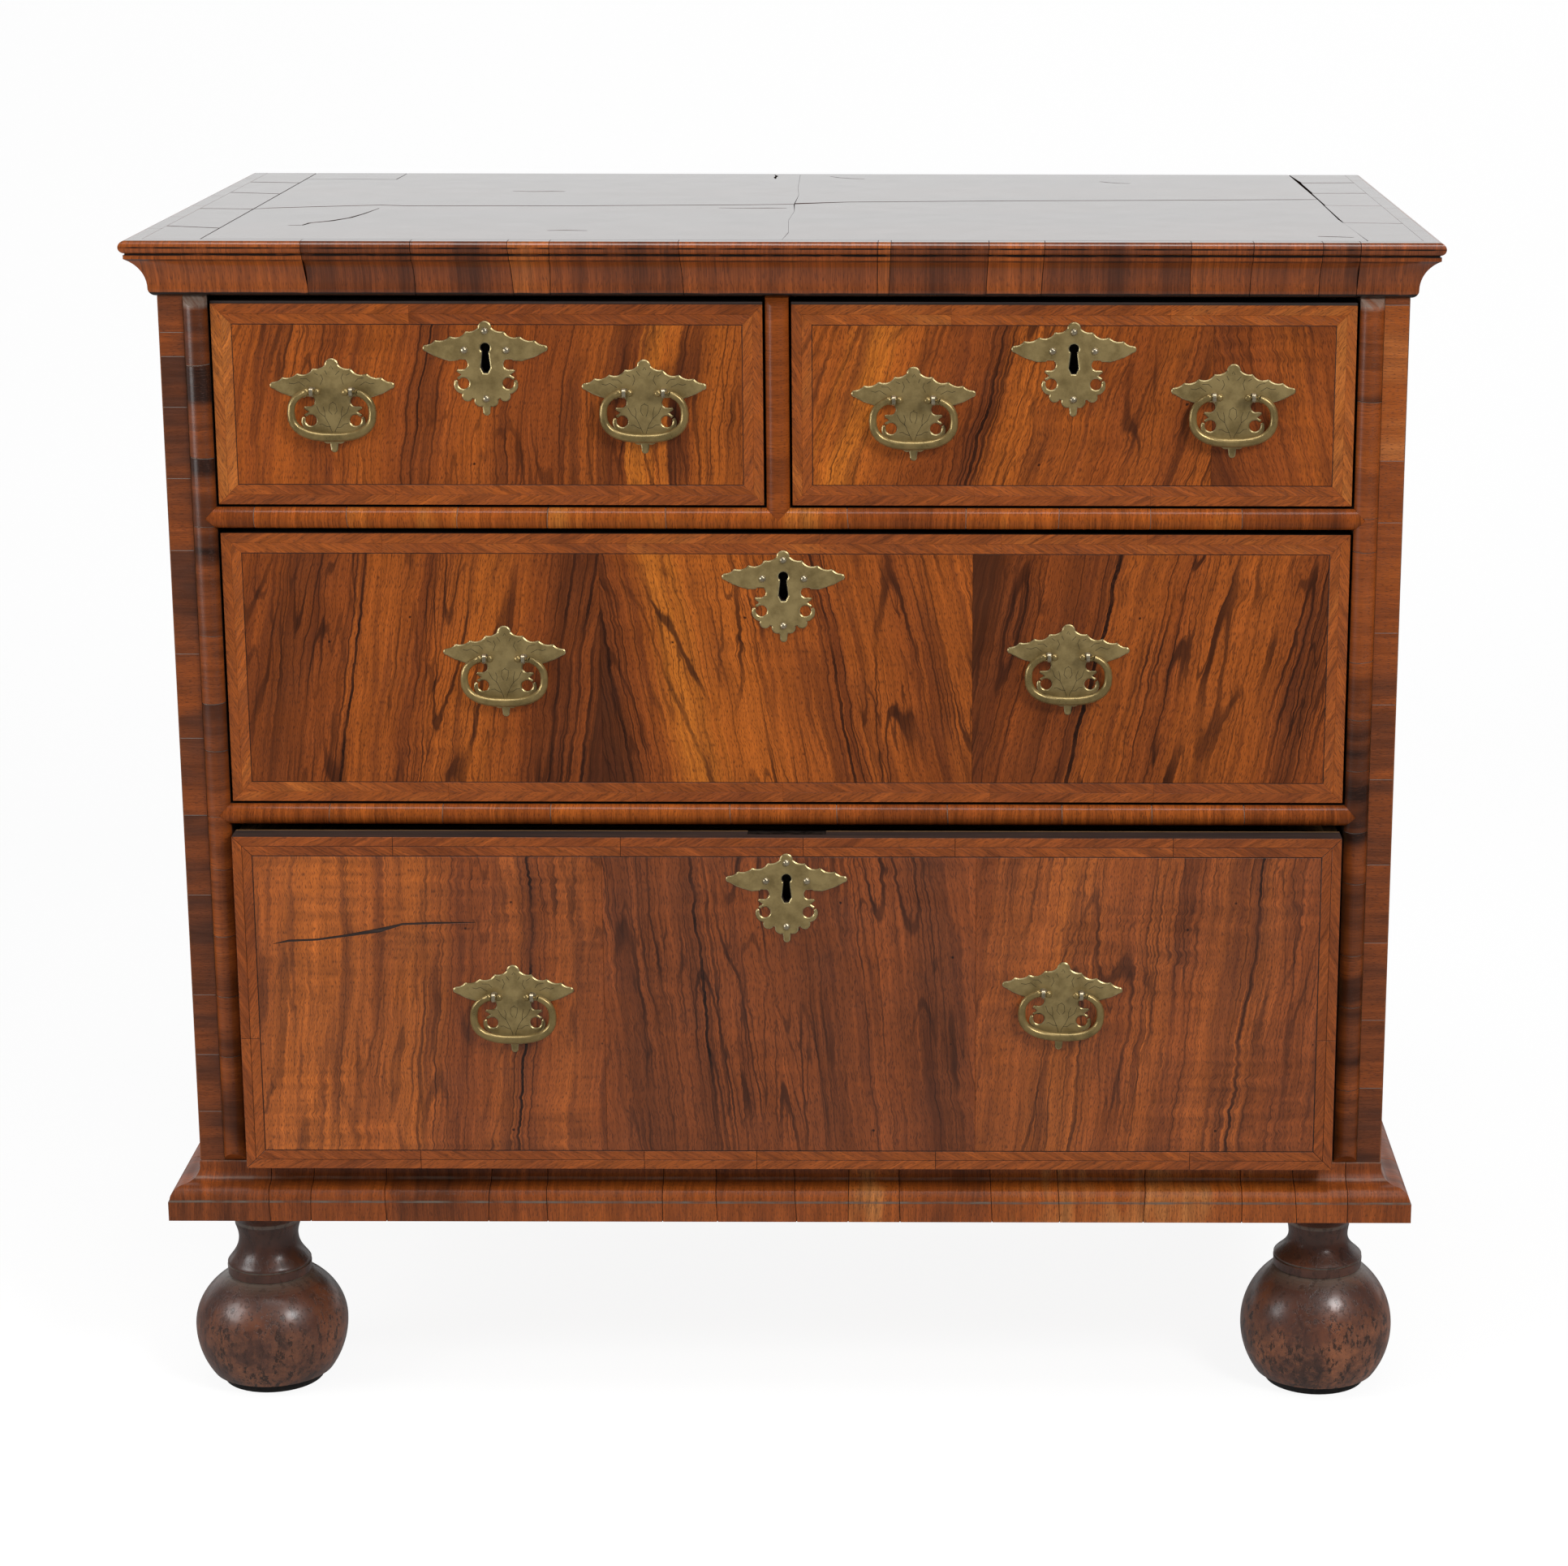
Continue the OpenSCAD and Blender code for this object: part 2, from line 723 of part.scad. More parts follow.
// Bolt with the notch in which the key lifts it
module lock_bolt(d) {
  top = front_top(d);
  leg_share = 0.2;
  leg = bolt_w * leg_share;
  color(IRON) in_frame(d) difference() {
    block([key_x(d) - bolt_w / 2, bolt_y, top - bolt_h], [key_x(d) + bolt_w / 2, bolt_y + bolt_t, top]);
    block([key_x(d) - bolt_w / 2 + leg, bolt_y - over, top - bolt_h - over],
      [key_x(d) + bolt_w / 2 - leg, bolt_y + bolt_t + over, key_z(d) + key_r + over]);
  }
}

// Points on the right half of a plate, as shares of half its width and of its height
cusp_shares = [[0.0645, 0.2687], [0.3054, 0.1754], [0.5591, 0.1231], [0.7957, 0.0820],
  [0.9462, 0.0311]];
// Radius of the hollow between two cusps, as shares of their distance
hollow_shares = [0.70, 0.70, 0.91, 1.15];
lower_shares = [
  [0.9527, -0.0382], [0.8172, -0.0877], [0.7097, -0.1132], [0.5806, -0.1400], [0.4731, -0.1358],
  [0.3871, -0.1160], [0.3720, -0.1188], [0.3226, -0.1726], [0.3720, -0.2277], [0.4581, -0.2291],
  [0.4710, -0.2461], [0.3935, -0.2843], [0.4301, -0.3027], [0.3634, -0.3890], [0.3634, -0.4668],
  [0.3011, -0.5092], [0.2043, -0.5417], [0.0989, -0.5615], [0, -0.5658]
];
// Rounds that are added and taken away: their middles, then their radii as shares of the height
round_shares = [[0, 0.212, 0.0707], [0.9484, -0.0042, 0.0339], [0.3634, -0.3890, 0.0990],
  [0.3011, -0.5092, 0.0580], [0.0989, -0.5615, 0.0622], [0, -0.6803, 0.0368]];
bite_shares = [[0.3720, -0.1726, 0.0566], [0.3591, -0.3748, 0.0608]];
curl_gap_shares = [[0.4258, -0.3607], [0.5247, -0.3182], [0.4978, -0.2970], [0.4151, -0.3536]];
tongue_shares = [[0, -0.55], [0.0710, -0.60], [0.0540, -0.6803], [0, -0.6803]];

function at(share) = [share[0] * plate_w / 2, share[1] * plate_h];

// A round hollow between two cusps, to the left of the line from p to q
module scallop(p, q, share) {
  chord = norm(q - p);
  radius = chord * share;
  away = [-(q - p)[1], (q - p)[0]] / chord;
  translate((p + q) / 2 + away * sqrt(radius * radius - chord * chord / 4)) circle(radius);
}

// Bat-wing plate: domed lobe, scalloped wings, open curls, a scalloped foot and its tongue
module plate_outline() {
  for (side = [0, 1]) mirror([side, 0]) difference() {
    union() {
      polygon([[0, 0], [0, plate_h * round_shares[0][1]], for (p = cusp_shares) at(p),
        for (p = lower_shares) at(p)]);
      for (r = round_shares) translate(at(r)) circle(plate_h * r[2]);
      polygon([for (p = tongue_shares) at(p)]);
    }
    for (i = [0 : len(hollow_shares) - 1])
      scallop(at(cusp_shares[i]), at(cusp_shares[i + 1]), hollow_shares[i]);
    for (r = bite_shares) translate(at(r)) circle(plate_h * r[2]);
    polygon([for (p = curl_gap_shares) at(p)]);
  }
}

// Domed pins of a key plate: their places from the plate's middle, and the size of their shanks
pin_shares = [[0, 0.181], [-0.3376, -0.0226], [0.3376, -0.0226], [0, -0.5375]];
pin_shank_r = 0.8;
pin_len = 6;

function pin_places() = [for (p = pin_shares) at(p)];

// A domed pin whose head stands on the plate's face
module domed_pin() {
  rise_share = 0.75;
  translate([0, -plate_t - fit, 0]) rotate([90, 0, 0]) intersection() {
    scale([1, 1, 1]) translate([0, 0, dome_r * (rise_share - 1)]) sphere(dome_r);
    cylinder(h = dome_r, r = dome_r);
  }
  translate([0, -plate_t - fit - over / 2, 0]) rotate([-90, 0, 0])
    cylinder(h = pin_len + plate_t + fit, r = pin_shank_r);
}

module escutcheon(d) {
  color(BRASS) in_frame(d) translate([key_x(d), 0, key_z(d)]) {
    difference() {
      along_y(-plate_t, 0) difference() {
        plate_outline();
        keyhole_outline();
      }
      for (p = pin_places()) translate([p[0], -plate_t - over, p[1]]) rotate([-90, 0, 0])
        cylinder(h = plate_t + 2 * over, r = pin_shank_r + fit);
    }
    for (p = pin_places()) translate([p[0], 0, p[1]]) domed_pin();
  }
}

// A post: shank through the front, collar on the plate and the eye that holds the bail's pin
module handle_post() {
  collar_share = 1.6;
  difference() {
    union() {
      translate([-eye_w / 2, -pivot_out, 0]) rotate([0, 90, 0]) cylinder(h = eye_w, r = eye_r);
      translate([0, -pivot_out + pin_r + turn_fit, 0]) rotate([-90, 0, 0])
        cylinder(h = pivot_out + front_t - pin_r - turn_fit, r = shank_r);
      translate([0, -plate_t - fit, 0]) rotate([90, 0, 0]) cylinder(h = over, r = shank_r * collar_share);
    }
    translate([-eye_w, -pivot_out, 0]) rotate([0, 90, 0]) cylinder(h = 2 * eye_w, r = pin_r + turn_fit);
  }
}

module handle_plate() {
  difference() {
    along_y(-plate_t, 0) plate_outline();
    both_sides() translate([post_half, -plate_t - over, -pivot_drop]) rotate([-90, 0, 0])
      cylinder(h = plate_t + 2 * over, r = shank_r + fit);
  }
  for (s = [-1, 1]) translate([s * post_half, 0, -pivot_drop]) handle_post();
}

module handle_plates(d) {
  color(BRASS) in_frame(d) for (side = [-1, 1]) at_handle(d, side) handle_plate();
}

// The bail: an oval bar that swells towards the grip, with pins and knobs through the eyes
squareness = 2.5;
bar_steps = 26;
bar_sides = 10;
knuckle_r = bar_end_r * 1.12;
knob_r = bar_end_r * 1.1;
bar_end_x = post_half + eye_w / 2 + slide_fit + knuckle_r;
knob_x = post_half - eye_w / 2 - slide_fit - knob_r;
end_angle = acos(pow(bar_end_x / bail_half, squareness / 2));
end_rise = pow(sin(end_angle), 2 / squareness);
oval_half = bail_drop / (1 + end_rise);

function signed_pow(v, e) = sign(v) * pow(abs(v), e);
function oval(a) = [bail_half * signed_pow(cos(a), 2 / squareness),
  oval_half * (signed_pow(sin(a), 2 / squareness) - end_rise)];
function bar_angle(i) = end_angle - i * (180 + 2 * end_angle) / bar_steps;
function bar_radius(i) = bar_end_r + (bar_grip_r - bar_end_r) * pow(sin(180 * i / bar_steps), 2);
function bar_ring(i) =
  let (a = bar_angle(i), c = oval(a), ahead = oval(a - 1) - oval(a + 1), n = ahead / norm(ahead))
  [for (j = [0 : bar_sides - 1])
    let (t = 360 * j / bar_sides, r = bar_radius(i))
    [c[0] - n[1] * r * cos(t), r * sin(t), c[1] + n[0] * r * cos(t)]];

module bail_bar() {
  points = [for (i = [0 : bar_steps]) each bar_ring(i)];
  last = bar_steps * bar_sides;
  sides = [for (i = [0 : bar_steps - 1]) for (j = [0 : bar_sides - 1])
    let (a = i * bar_sides + j, b = i * bar_sides + (j + 1) % bar_sides)
    each [[a, b, a + bar_sides], [b, b + bar_sides, a + bar_sides]]];
  ends = [[for (j = [0 : bar_sides - 1]) bar_sides - 1 - j], [for (j = [0 : bar_sides - 1]) last + j]];
  polyhedron(points = points, faces = concat(sides, ends), convexity = 6);
}

module bail(d, side) {
  color(BRASS) in_frame(d) at_handle(d, side) translate([0, -pivot_out, -pivot_drop]) {
      bail_bar();
      for (s = [-1, 1]) {
        translate([s * bar_end_x, 0, 0]) sphere(knuckle_r);
        translate([s * knob_x, 0, 0]) sphere(knob_r);
        translate([s * knob_x, 0, 0]) rotate([0, s * 90, 0]) cylinder(h = bar_end_x - knob_x, r = pin_r);
      }
    }
}

top_board();
cornice_front();
cornice_returns();
side_left();
side_right();
bottom_board();
back_boards();
dustboards();
top_rail();
drawer_rails();
divider();
stile_mouldings();
rail_mouldings();
stile_posts();
drawer_guides();
base_front();
base_returns();
foot_bearers();
feet();
foot_pads();
drawer_front(TOP_LEFT);  // top_left_front
drawer_sides(TOP_LEFT);  // top_left_sides
drawer_back(TOP_LEFT);  // top_left_back
drawer_bottom(TOP_LEFT);  // top_left_bottom
lock_case(TOP_LEFT);  // top_left_lock
lock_bolt(TOP_LEFT);  // top_left_bolt
escutcheon(TOP_LEFT);  // top_left_escutcheon
handle_plates(TOP_LEFT);  // top_left_handle_plates
bail(TOP_LEFT, -1);  // top_left_bail_left
bail(TOP_LEFT, 1);  // top_left_bail_right
drawer_front(TOP_RIGHT);  // top_right_front
drawer_sides(TOP_RIGHT);  // top_right_sides
drawer_back(TOP_RIGHT);  // top_right_back
drawer_bottom(TOP_RIGHT);  // top_right_bottom
lock_case(TOP_RIGHT);  // top_right_lock
lock_bolt(TOP_RIGHT);  // top_right_bolt
escutcheon(TOP_RIGHT);  // top_right_escutcheon
handle_plates(TOP_RIGHT);  // top_right_handle_plates
bail(TOP_RIGHT, -1);  // top_right_bail_left
bail(TOP_RIGHT, 1);  // top_right_bail_right
drawer_front(MIDDLE);  // middle_front
drawer_sides(MIDDLE);  // middle_sides
drawer_back(MIDDLE);  // middle_back
drawer_bottom(MIDDLE);  // middle_bottom
lock_case(MIDDLE);  // middle_lock
lock_bolt(MIDDLE);  // middle_bolt
escutcheon(MIDDLE);  // middle_escutcheon
handle_plates(MIDDLE);  // middle_handle_plates
bail(MIDDLE, -1);  // middle_bail_left
bail(MIDDLE, 1);  // middle_bail_right
drawer_front(BOTTOM);  // bottom_front
drawer_sides(BOTTOM);  // bottom_sides
drawer_back(BOTTOM);  // bottom_back
drawer_bottom(BOTTOM);  // bottom_bottom
lock_case(BOTTOM);  // bottom_lock
lock_bolt(BOTTOM);  // bottom_bolt
escutcheon(BOTTOM);  // bottom_escutcheon
handle_plates(BOTTOM);  // bottom_handle_plates
bail(BOTTOM, -1);  // bottom_bail_left
bail(BOTTOM, 1);  // bottom_bail_right
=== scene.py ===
"""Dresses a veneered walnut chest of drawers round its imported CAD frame.

The drawer fronts get figured leaves and feather banding, the mouldings are cut into cross-grained
blocks, the brasses are chamfered and engraved, and a plain studio lights the whole.
"""

import math
import random

import bmesh
import bpy
import numpy as np
from bpy.props import FloatProperty, FloatVectorProperty, IntProperty, PointerProperty
from mathutils import Matrix, Vector
from mathutils.geometry import tessellate_polygon


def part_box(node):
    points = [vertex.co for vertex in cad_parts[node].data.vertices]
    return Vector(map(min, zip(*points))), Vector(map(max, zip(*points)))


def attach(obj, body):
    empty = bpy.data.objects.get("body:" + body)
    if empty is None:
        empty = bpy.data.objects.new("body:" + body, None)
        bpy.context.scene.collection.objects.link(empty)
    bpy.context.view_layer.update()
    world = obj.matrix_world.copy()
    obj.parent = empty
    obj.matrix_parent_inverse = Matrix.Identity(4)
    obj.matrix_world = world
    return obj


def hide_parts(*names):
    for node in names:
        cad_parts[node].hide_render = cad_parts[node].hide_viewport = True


bl_info = {
    "name": "Walnut chest of drawers",
    "version": (1, 0, 0),
    "blender": (4, 5, 0),
    "location": "3D View > Sidebar > Chest",
    "description": "Veneers, mouldings, brasses and a studio for a chest of drawers",
    "category": "Object",
}

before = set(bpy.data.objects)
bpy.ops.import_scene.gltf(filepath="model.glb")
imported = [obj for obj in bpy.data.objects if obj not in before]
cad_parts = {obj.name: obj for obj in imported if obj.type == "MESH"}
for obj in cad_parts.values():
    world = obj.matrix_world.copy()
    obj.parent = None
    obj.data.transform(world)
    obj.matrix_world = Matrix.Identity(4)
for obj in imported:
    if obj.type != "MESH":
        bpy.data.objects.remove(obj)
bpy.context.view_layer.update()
MM = 0.001
DRAWERS = ("top_left", "top_right", "middle", "bottom")
SIDE_LOW, SIDE_HIGH = 200.5, 881.5

# Finishes as the eye reads them on the piece, in sRGB
TONES = {
    "gold": "#b5651d",
    "honey": "#a25418",
    "orange": "#934a16",
    "russet": "#803e14",
    "brown": "#663111",
    "umber": "#48230e",
    "vein": "#1c0c06",
}
SUN_FADED = "#381c0e", "#4f2c17"
WHITE = (1, 1, 1, 1)
WAXED = dict(coat=1.0, coat_rough=0.14, rough=(0.23, 0.27), shine=0.5)


def linear(colour):
    """An sRGB hex value, or the name of a tone, as the linear colour that a socket takes."""
    colour = TONES.get(colour, colour)
    values = [int(colour[i : i + 2], 16) / 255 for i in (1, 3, 5)]
    return [v / 12.92 if v <= 0.04045 else ((v + 0.055) / 1.055) ** 2.4 for v in values] + [1.0]


def node(tree, kind, inputs=None, out=0, **settings):
    """Adds a node with its settings, links or values, and gives back one of its outputs."""
    made = tree.nodes.new(kind)
    for name, value in settings.items():
        setattr(made, name, value)
    for name, value in (inputs or {}).items():
        socket = made.inputs[name]
        if isinstance(value, bpy.types.NodeSocket):
            tree.links.new(value, socket)
        else:
            socket.default_value = value
    return made.outputs[out] if len(made.outputs) else None


def maths(tree, operation, *values):
    """One sum on up to three values."""
    return node(tree, "ShaderNodeMath", dict(enumerate(values)), operation=operation)


def stretched(tree, spot, factors):
    """A place with each of its axes multiplied."""
    return node(tree, "ShaderNodeVectorMath", {0: spot, 1: factors}, operation="MULTIPLY")


def spread(tree, value, low, high, to_low=0.0, to_high=1.0):
    """A value's share of one range, carried over to another."""
    limits = {"From Min": low, "From Max": high, "To Min": to_low, "To Max": to_high}
    return node(tree, "ShaderNodeMapRange", {"Value": value, **limits})


def laid(tree, colour, over, share):
    """A colour with a share of another one laid over it."""
    if isinstance(over, str):
        over = linear(over)
    return node(tree, "ShaderNodeMix", {0: share, 6: colour, 7: over}, out=2, data_type="RGBA")


def shaded(tree, colour, by):
    """A colour made darker or lighter by a factor."""
    inputs = {0: 1.0, 6: colour, 7: by}
    return node(tree, "ShaderNodeMix", inputs, out=2, data_type="RGBA", blend_type="MULTIPLY")


def ramp(tree, value, stops, steps=False):
    """The colour or grey that a value meets on a row of stops, blended or in steps."""
    found = node(tree, "ShaderNodeValToRGB", {0: value})
    row = found.node.color_ramp
    row.interpolation = "CONSTANT" if steps else "LINEAR"
    row.elements.remove(row.elements[1])
    for k, (place, tone) in enumerate(sorted(stops, key=lambda s: s[0])):
        stop = row.elements.new(place) if k else row.elements[0]
        stop.position = place
        stop.color = linear(tone) if isinstance(tone, str) else (tone, tone, tone, 1)
    return found


def object_place(tree):
    """The place on the piece, in metres."""
    return node(tree, "ShaderNodeTexCoord", out="Object")


def attribute(tree, name):
    """A number kept on each face."""
    return node(tree, "ShaderNodeAttribute", out="Fac", attribute_name=name)


def parts(tree, spot):
    """The three parts of a place."""
    return node(tree, "ShaderNodeSeparateXYZ", {0: spot}).node.outputs


def noise(tree, spot, scale, detail=2.0, roughness=0.5, distortion=0.0):
    """Even noise at a place."""
    inputs = {"Vector": spot, "Scale": scale, "Detail": detail, "Roughness": roughness}
    return node(tree, "ShaderNodeTexNoise", {**inputs, "Distortion": distortion})


def grain_noise(tree, grain, per_across, per_along, detail, roughness=0.5):
    """Noise drawn out along the grain, and different for each seed."""
    across, along, seed = grain
    spot = node(tree, "ShaderNodeCombineXYZ", {0: across, 1: along})
    spot = stretched(tree, spot, (per_across, per_along, 1))
    inputs = {"Vector": spot, "W": seed, "Scale": 1.0, "Detail": detail, "Roughness": roughness}
    return node(tree, "ShaderNodeTexNoise", inputs, noise_dimensions="4D")


def speckle(tree, grain, per_across, per_along, low, high, detail=2.0, to=(0.0, 1.0)):
    """Noise along the grain, with a share of its range spread over new limits."""
    return spread(tree, grain_noise(tree, grain, per_across, per_along, detail, 0.6), low, high, *to)


def warped(tree, grain, sways):
    """The grain after slow and quick wanderings of its lines."""
    place, along, seed = grain
    for per_across, per_along, reach in sways:
        drift = maths(tree, "SUBTRACT", grain_noise(tree, grain, per_across, per_along, 2.0), 0.5)
        place = maths(tree, "MULTIPLY_ADD", drift, reach * 2 * MM, place)
    return place, along, seed


def streaked(tree, colour, grain, low, high, streaks):
    """A colour under streaks, each with its density across and along, its darkest and its lightest."""
    for per_across, per_along, *reach in streaks:
        colour = shaded(tree, colour, speckle(tree, grain, per_across, per_along, low, high, 3.0, reach))
    return colour


def grain_map(tree, run_axis=None):
    """The places across and along the grain with the piece's seed, then what they were taken from."""
    spot = node(tree, "ShaderNodeUVMap", uv_map="grain") if run_axis is None else object_place(tree)
    split = parts(tree, spot)
    if run_axis is None:
        across, along = split["X"], split["Y"]
    else:
        # The run of a moulding lies across the grain, and the other two axes lie along it
        across = split[run_axis]
        along = maths(tree, "ADD", *(split[k] for k in range(3) if k != run_axis))
    return (across, along, attribute(tree, "seed")), spot, split


def material(name):
    """An empty material and its tree."""
    made = bpy.data.materials.new(name)
    made.use_nodes = True
    made.node_tree.nodes.clear()
    return made, made.node_tree


def surface(tree, colour, roughness, height, depth, **constants):
    """Ends a tree in a Principled surface with a bump of a given depth in metres."""
    bump = node(tree, "ShaderNodeBump", {"Height": height, "Distance": depth, "Strength": 1.0})
    inputs = {"Base Color": colour, "Roughness": roughness, "Normal": bump}
    inputs.update({k.replace("_", " "): v for k, v in constants.items()})
    shader = node(tree, "ShaderNodeBsdfPrincipled", inputs)
    node(tree, "ShaderNodeOutputMaterial", {"Surface": shader})


def dull(name, colour, roughness, **constants):
    """A dull finish of one colour: wax, dust, dirt, and painted shade."""
    made, tree = material(name)
    surface(tree, linear(colour), roughness, noise(tree, object_place(tree), 900.0), 0.00005, **constants)
    return made


def vein_stops(width, veins, slimmer=0.42):
    """Steps of a ramp for dark veins given as place, half width and strength."""
    stops = [(0.0, 0.0)]
    for place, half, strength in sorted(veins):
        half *= slimmer
        stops += [((place - half) / width, strength), ((place + half) / width, 0.0)]
    return [(min(0.999, max(0.001 * (k > 0), p)), v) for k, (p, v) in enumerate(stops)]


def figured_walnut(
    name, width, tones, veins, curl=0.5, lines=0.5, sway=9.0,
    coat=0.04, coat_rough=0.22, rough=(0.36, 0.5), shine=0.14,
):
    """Hand-sawn figured walnut veneer under old wax: bands of colour, black veins, ripple and pores."""
    made, tree = material(name)
    flat, uv, _split = grain_map(tree)
    place, along, seed = warped(tree, flat, [(4, 7, sway), (16, 26, 3.6), (50, 80, 1.5), (160, 420, 0.45)])
    # Where the grain ripples, it throws the veins from side to side every 8 mm
    ripple = speckle(tree, flat, 14, 125, 0.3, 0.7, 1.0, (-1.0, 1.0))
    ripple = maths(tree, "MULTIPLY", ripple, speckle(tree, flat, 5, 8, 0.36, 0.6, 1.0, (0.12, 1.0)))
    place = maths(tree, "MULTIPLY_ADD", ripple, 0.0011 * curl, place)
    grain = place, along, seed
    # The colour bands fray into streaks at their borders
    fray = speckle(tree, grain, 240, 3.5, 0.25, 0.75, 3.0, (-13.0 / width, 13.0 / width))
    share = maths(tree, "MULTIPLY", place, 1 / (width * MM))
    colour = ramp(tree, maths(tree, "ADD", share, fray), [(p / width, t) for p, t in tones])
    # Streaks 8, 3 and 1 mm apart, which never run evenly
    streaks = (120, 4, 0.84, 1.17), (330, 7, 0.82, 1.16), (900, 16, 0.80, 1.16)
    colour = streaked(tree, colour, grain, 0.32, 0.68, streaks)
    # Dark streaks two to five millimetres wide, with clear edges
    colour = laid(tree, colour, "#522610", speckle(tree, grain, 75, 4.5, 0.53, 0.6, 3.0, (0.0, 0.5)))
    # Growth rings cut at a slant: contour lines of a drawn-out noise, coarse and fine
    rings = (22, 2.0, 13.0, 0.10, lines), (55, 3.5, 11.0, 0.09, lines * 0.8)
    for per_across, per_along, count, thin, strength in rings:
        ring = speckle(tree, grain, per_across, per_along, 0.0, 1.0, 1.0, (0.0, count))
        ring = spread(tree, maths(tree, "PINGPONG", ring, 0.5), thin * 0.5, thin, 1.0, 0.0)
        where = speckle(tree, grain, 13, 6, 0.42, 0.58, 2.0, (0.0, strength))
        colour = laid(tree, colour, "#2e1407", maths(tree, "MULTIPLY", ring, where))
    vein = ramp(tree, share, vein_stops(width, veins), steps=True)
    fade = speckle(tree, grain, 3, 22, 0.3, 0.55, 2.0, (0.35, 1.0))
    colour = laid(tree, colour, "vein", maths(tree, "MULTIPLY", vein, fade))
    # The ripple itself also catches the light
    ripple = maths(tree, "MULTIPLY_ADD", ripple, 0.16 * curl, 1.0)
    colour = shaded(tree, colour, ripple)
    # Pores are short dark dashes, drawn 0.5 mm wide so that they show
    pore = speckle(tree, grain, 1700, 300, 0.56, 0.68, 0.0, (0.0, 0.6))
    colour = laid(tree, colour, "#431f0c", pore)
    # Old dents and filled worm holes, a millimetre or two across
    dent = node(tree, "ShaderNodeTexVoronoi", {"Vector": uv, "Scale": 42.0, "Randomness": 1.0}).node.outputs
    near = spread(tree, dent["Distance"], 0.03, 0.06, 0.9, 0.0)
    near = maths(tree, "MULTIPLY", near, maths(tree, "GREATER_THAN", dent["Color"], 0.62))
    colour = laid(tree, colour, "vein", near)
    colour = shaded(tree, colour, speckle(tree, flat, 7, 7, 0.3, 0.7, 3.0, (0.84, 1.12)))
    height = maths(tree, "MULTIPLY_ADD", pore, -0.6, ripple)
    gloss = speckle(tree, flat, 30, 30, 0.3, 0.7, 2.0, rough)
    depth = 0.000005 if coat > 0.5 else 0.0001
    polish = dict(Coat_Weight=coat, Coat_Roughness=coat_rough, Specular_IOR_Level=shine)
    surface(tree, colour, gloss, height, depth, **polish)
    return made


def hollows(tree, level, bands):
    """A mask of bands at set heights of a section, given as height, half width and strength."""
    mask = None
    for height, half, strength in bands:
        off = maths(tree, "ABSOLUTE", maths(tree, "SUBTRACT", level, height * MM))
        band = spread(tree, off, half * MM * 0.4, half * MM, strength, 0.0)
        mask = band if mask is None else maths(tree, "MAXIMUM", mask, band)
    return mask


def plain_walnut(
    name, low, high, run_axis=None, wax=(), dust=(),
    coat=0.12, coat_rough=0.22, rough=(0.34, 0.48), shine=0.25, figure=1.0, deep=False,
):
    """Cross-grained or straight walnut whose tint runs from one colour to another by block."""
    made, tree = material(name)
    flat, _spot, split = grain_map(tree, run_axis)
    grain = warped(tree, flat, [(9, 20, 3.0), (60, 60, 0.8)])
    slow = speckle(tree, grain, 38, 8, 0.3, 0.7, 2.0, (-0.2, 0.2))
    between = [] if deep else [(0.35, "russet"), (0.7, "orange")]
    share = maths(tree, "ADD", attribute(tree, "tint"), slow)
    colour = ramp(tree, share, [(0.0, low), *between, (1.0, high)])
    dark = 1 - 0.22 * figure
    streaks = (260, 14, dark, 1 + 0.18 * figure), (1000, 40, dark, 1 + 0.16 * figure)
    colour = streaked(tree, colour, grain, 0.3, 0.7, streaks)
    pore = speckle(tree, grain, 1700, 300, 0.58, 0.7, 0.0, (0.0, 0.55))
    colour = laid(tree, colour, "umber", pore)
    # Painted shade lies in dark bands in the quirks of the section, and painted shadow along the foot of the
    # cornice; grey dust lies at other heights, with a painted sheen on the base's ledges; more in some places
    # than in others
    for bands, tone in ((wax, "#170d08"), (dust, "#8d8478")):
        if bands:
            mask = hollows(tree, split["Z"], bands)
            patchy = speckle(tree, flat, 50, 200, 0.36, 0.6, 3.0, (0.25, 1.0))
            colour = laid(tree, colour, tone, maths(tree, "MULTIPLY", mask, patchy))
    height = maths(tree, "MULTIPLY", pore, -1.0)
    gloss = speckle(tree, flat, 40, 40, 0.3, 0.7, 2.0, rough)
    depth = 0.000005 if deep else 0.00002 if coat > 0.5 else 0.0001
    polish = dict(Coat_Weight=coat, Coat_Roughness=coat_rough, Specular_IOR_Level=shine)
    surface(tree, colour, gloss, height, depth, **polish)
    return made


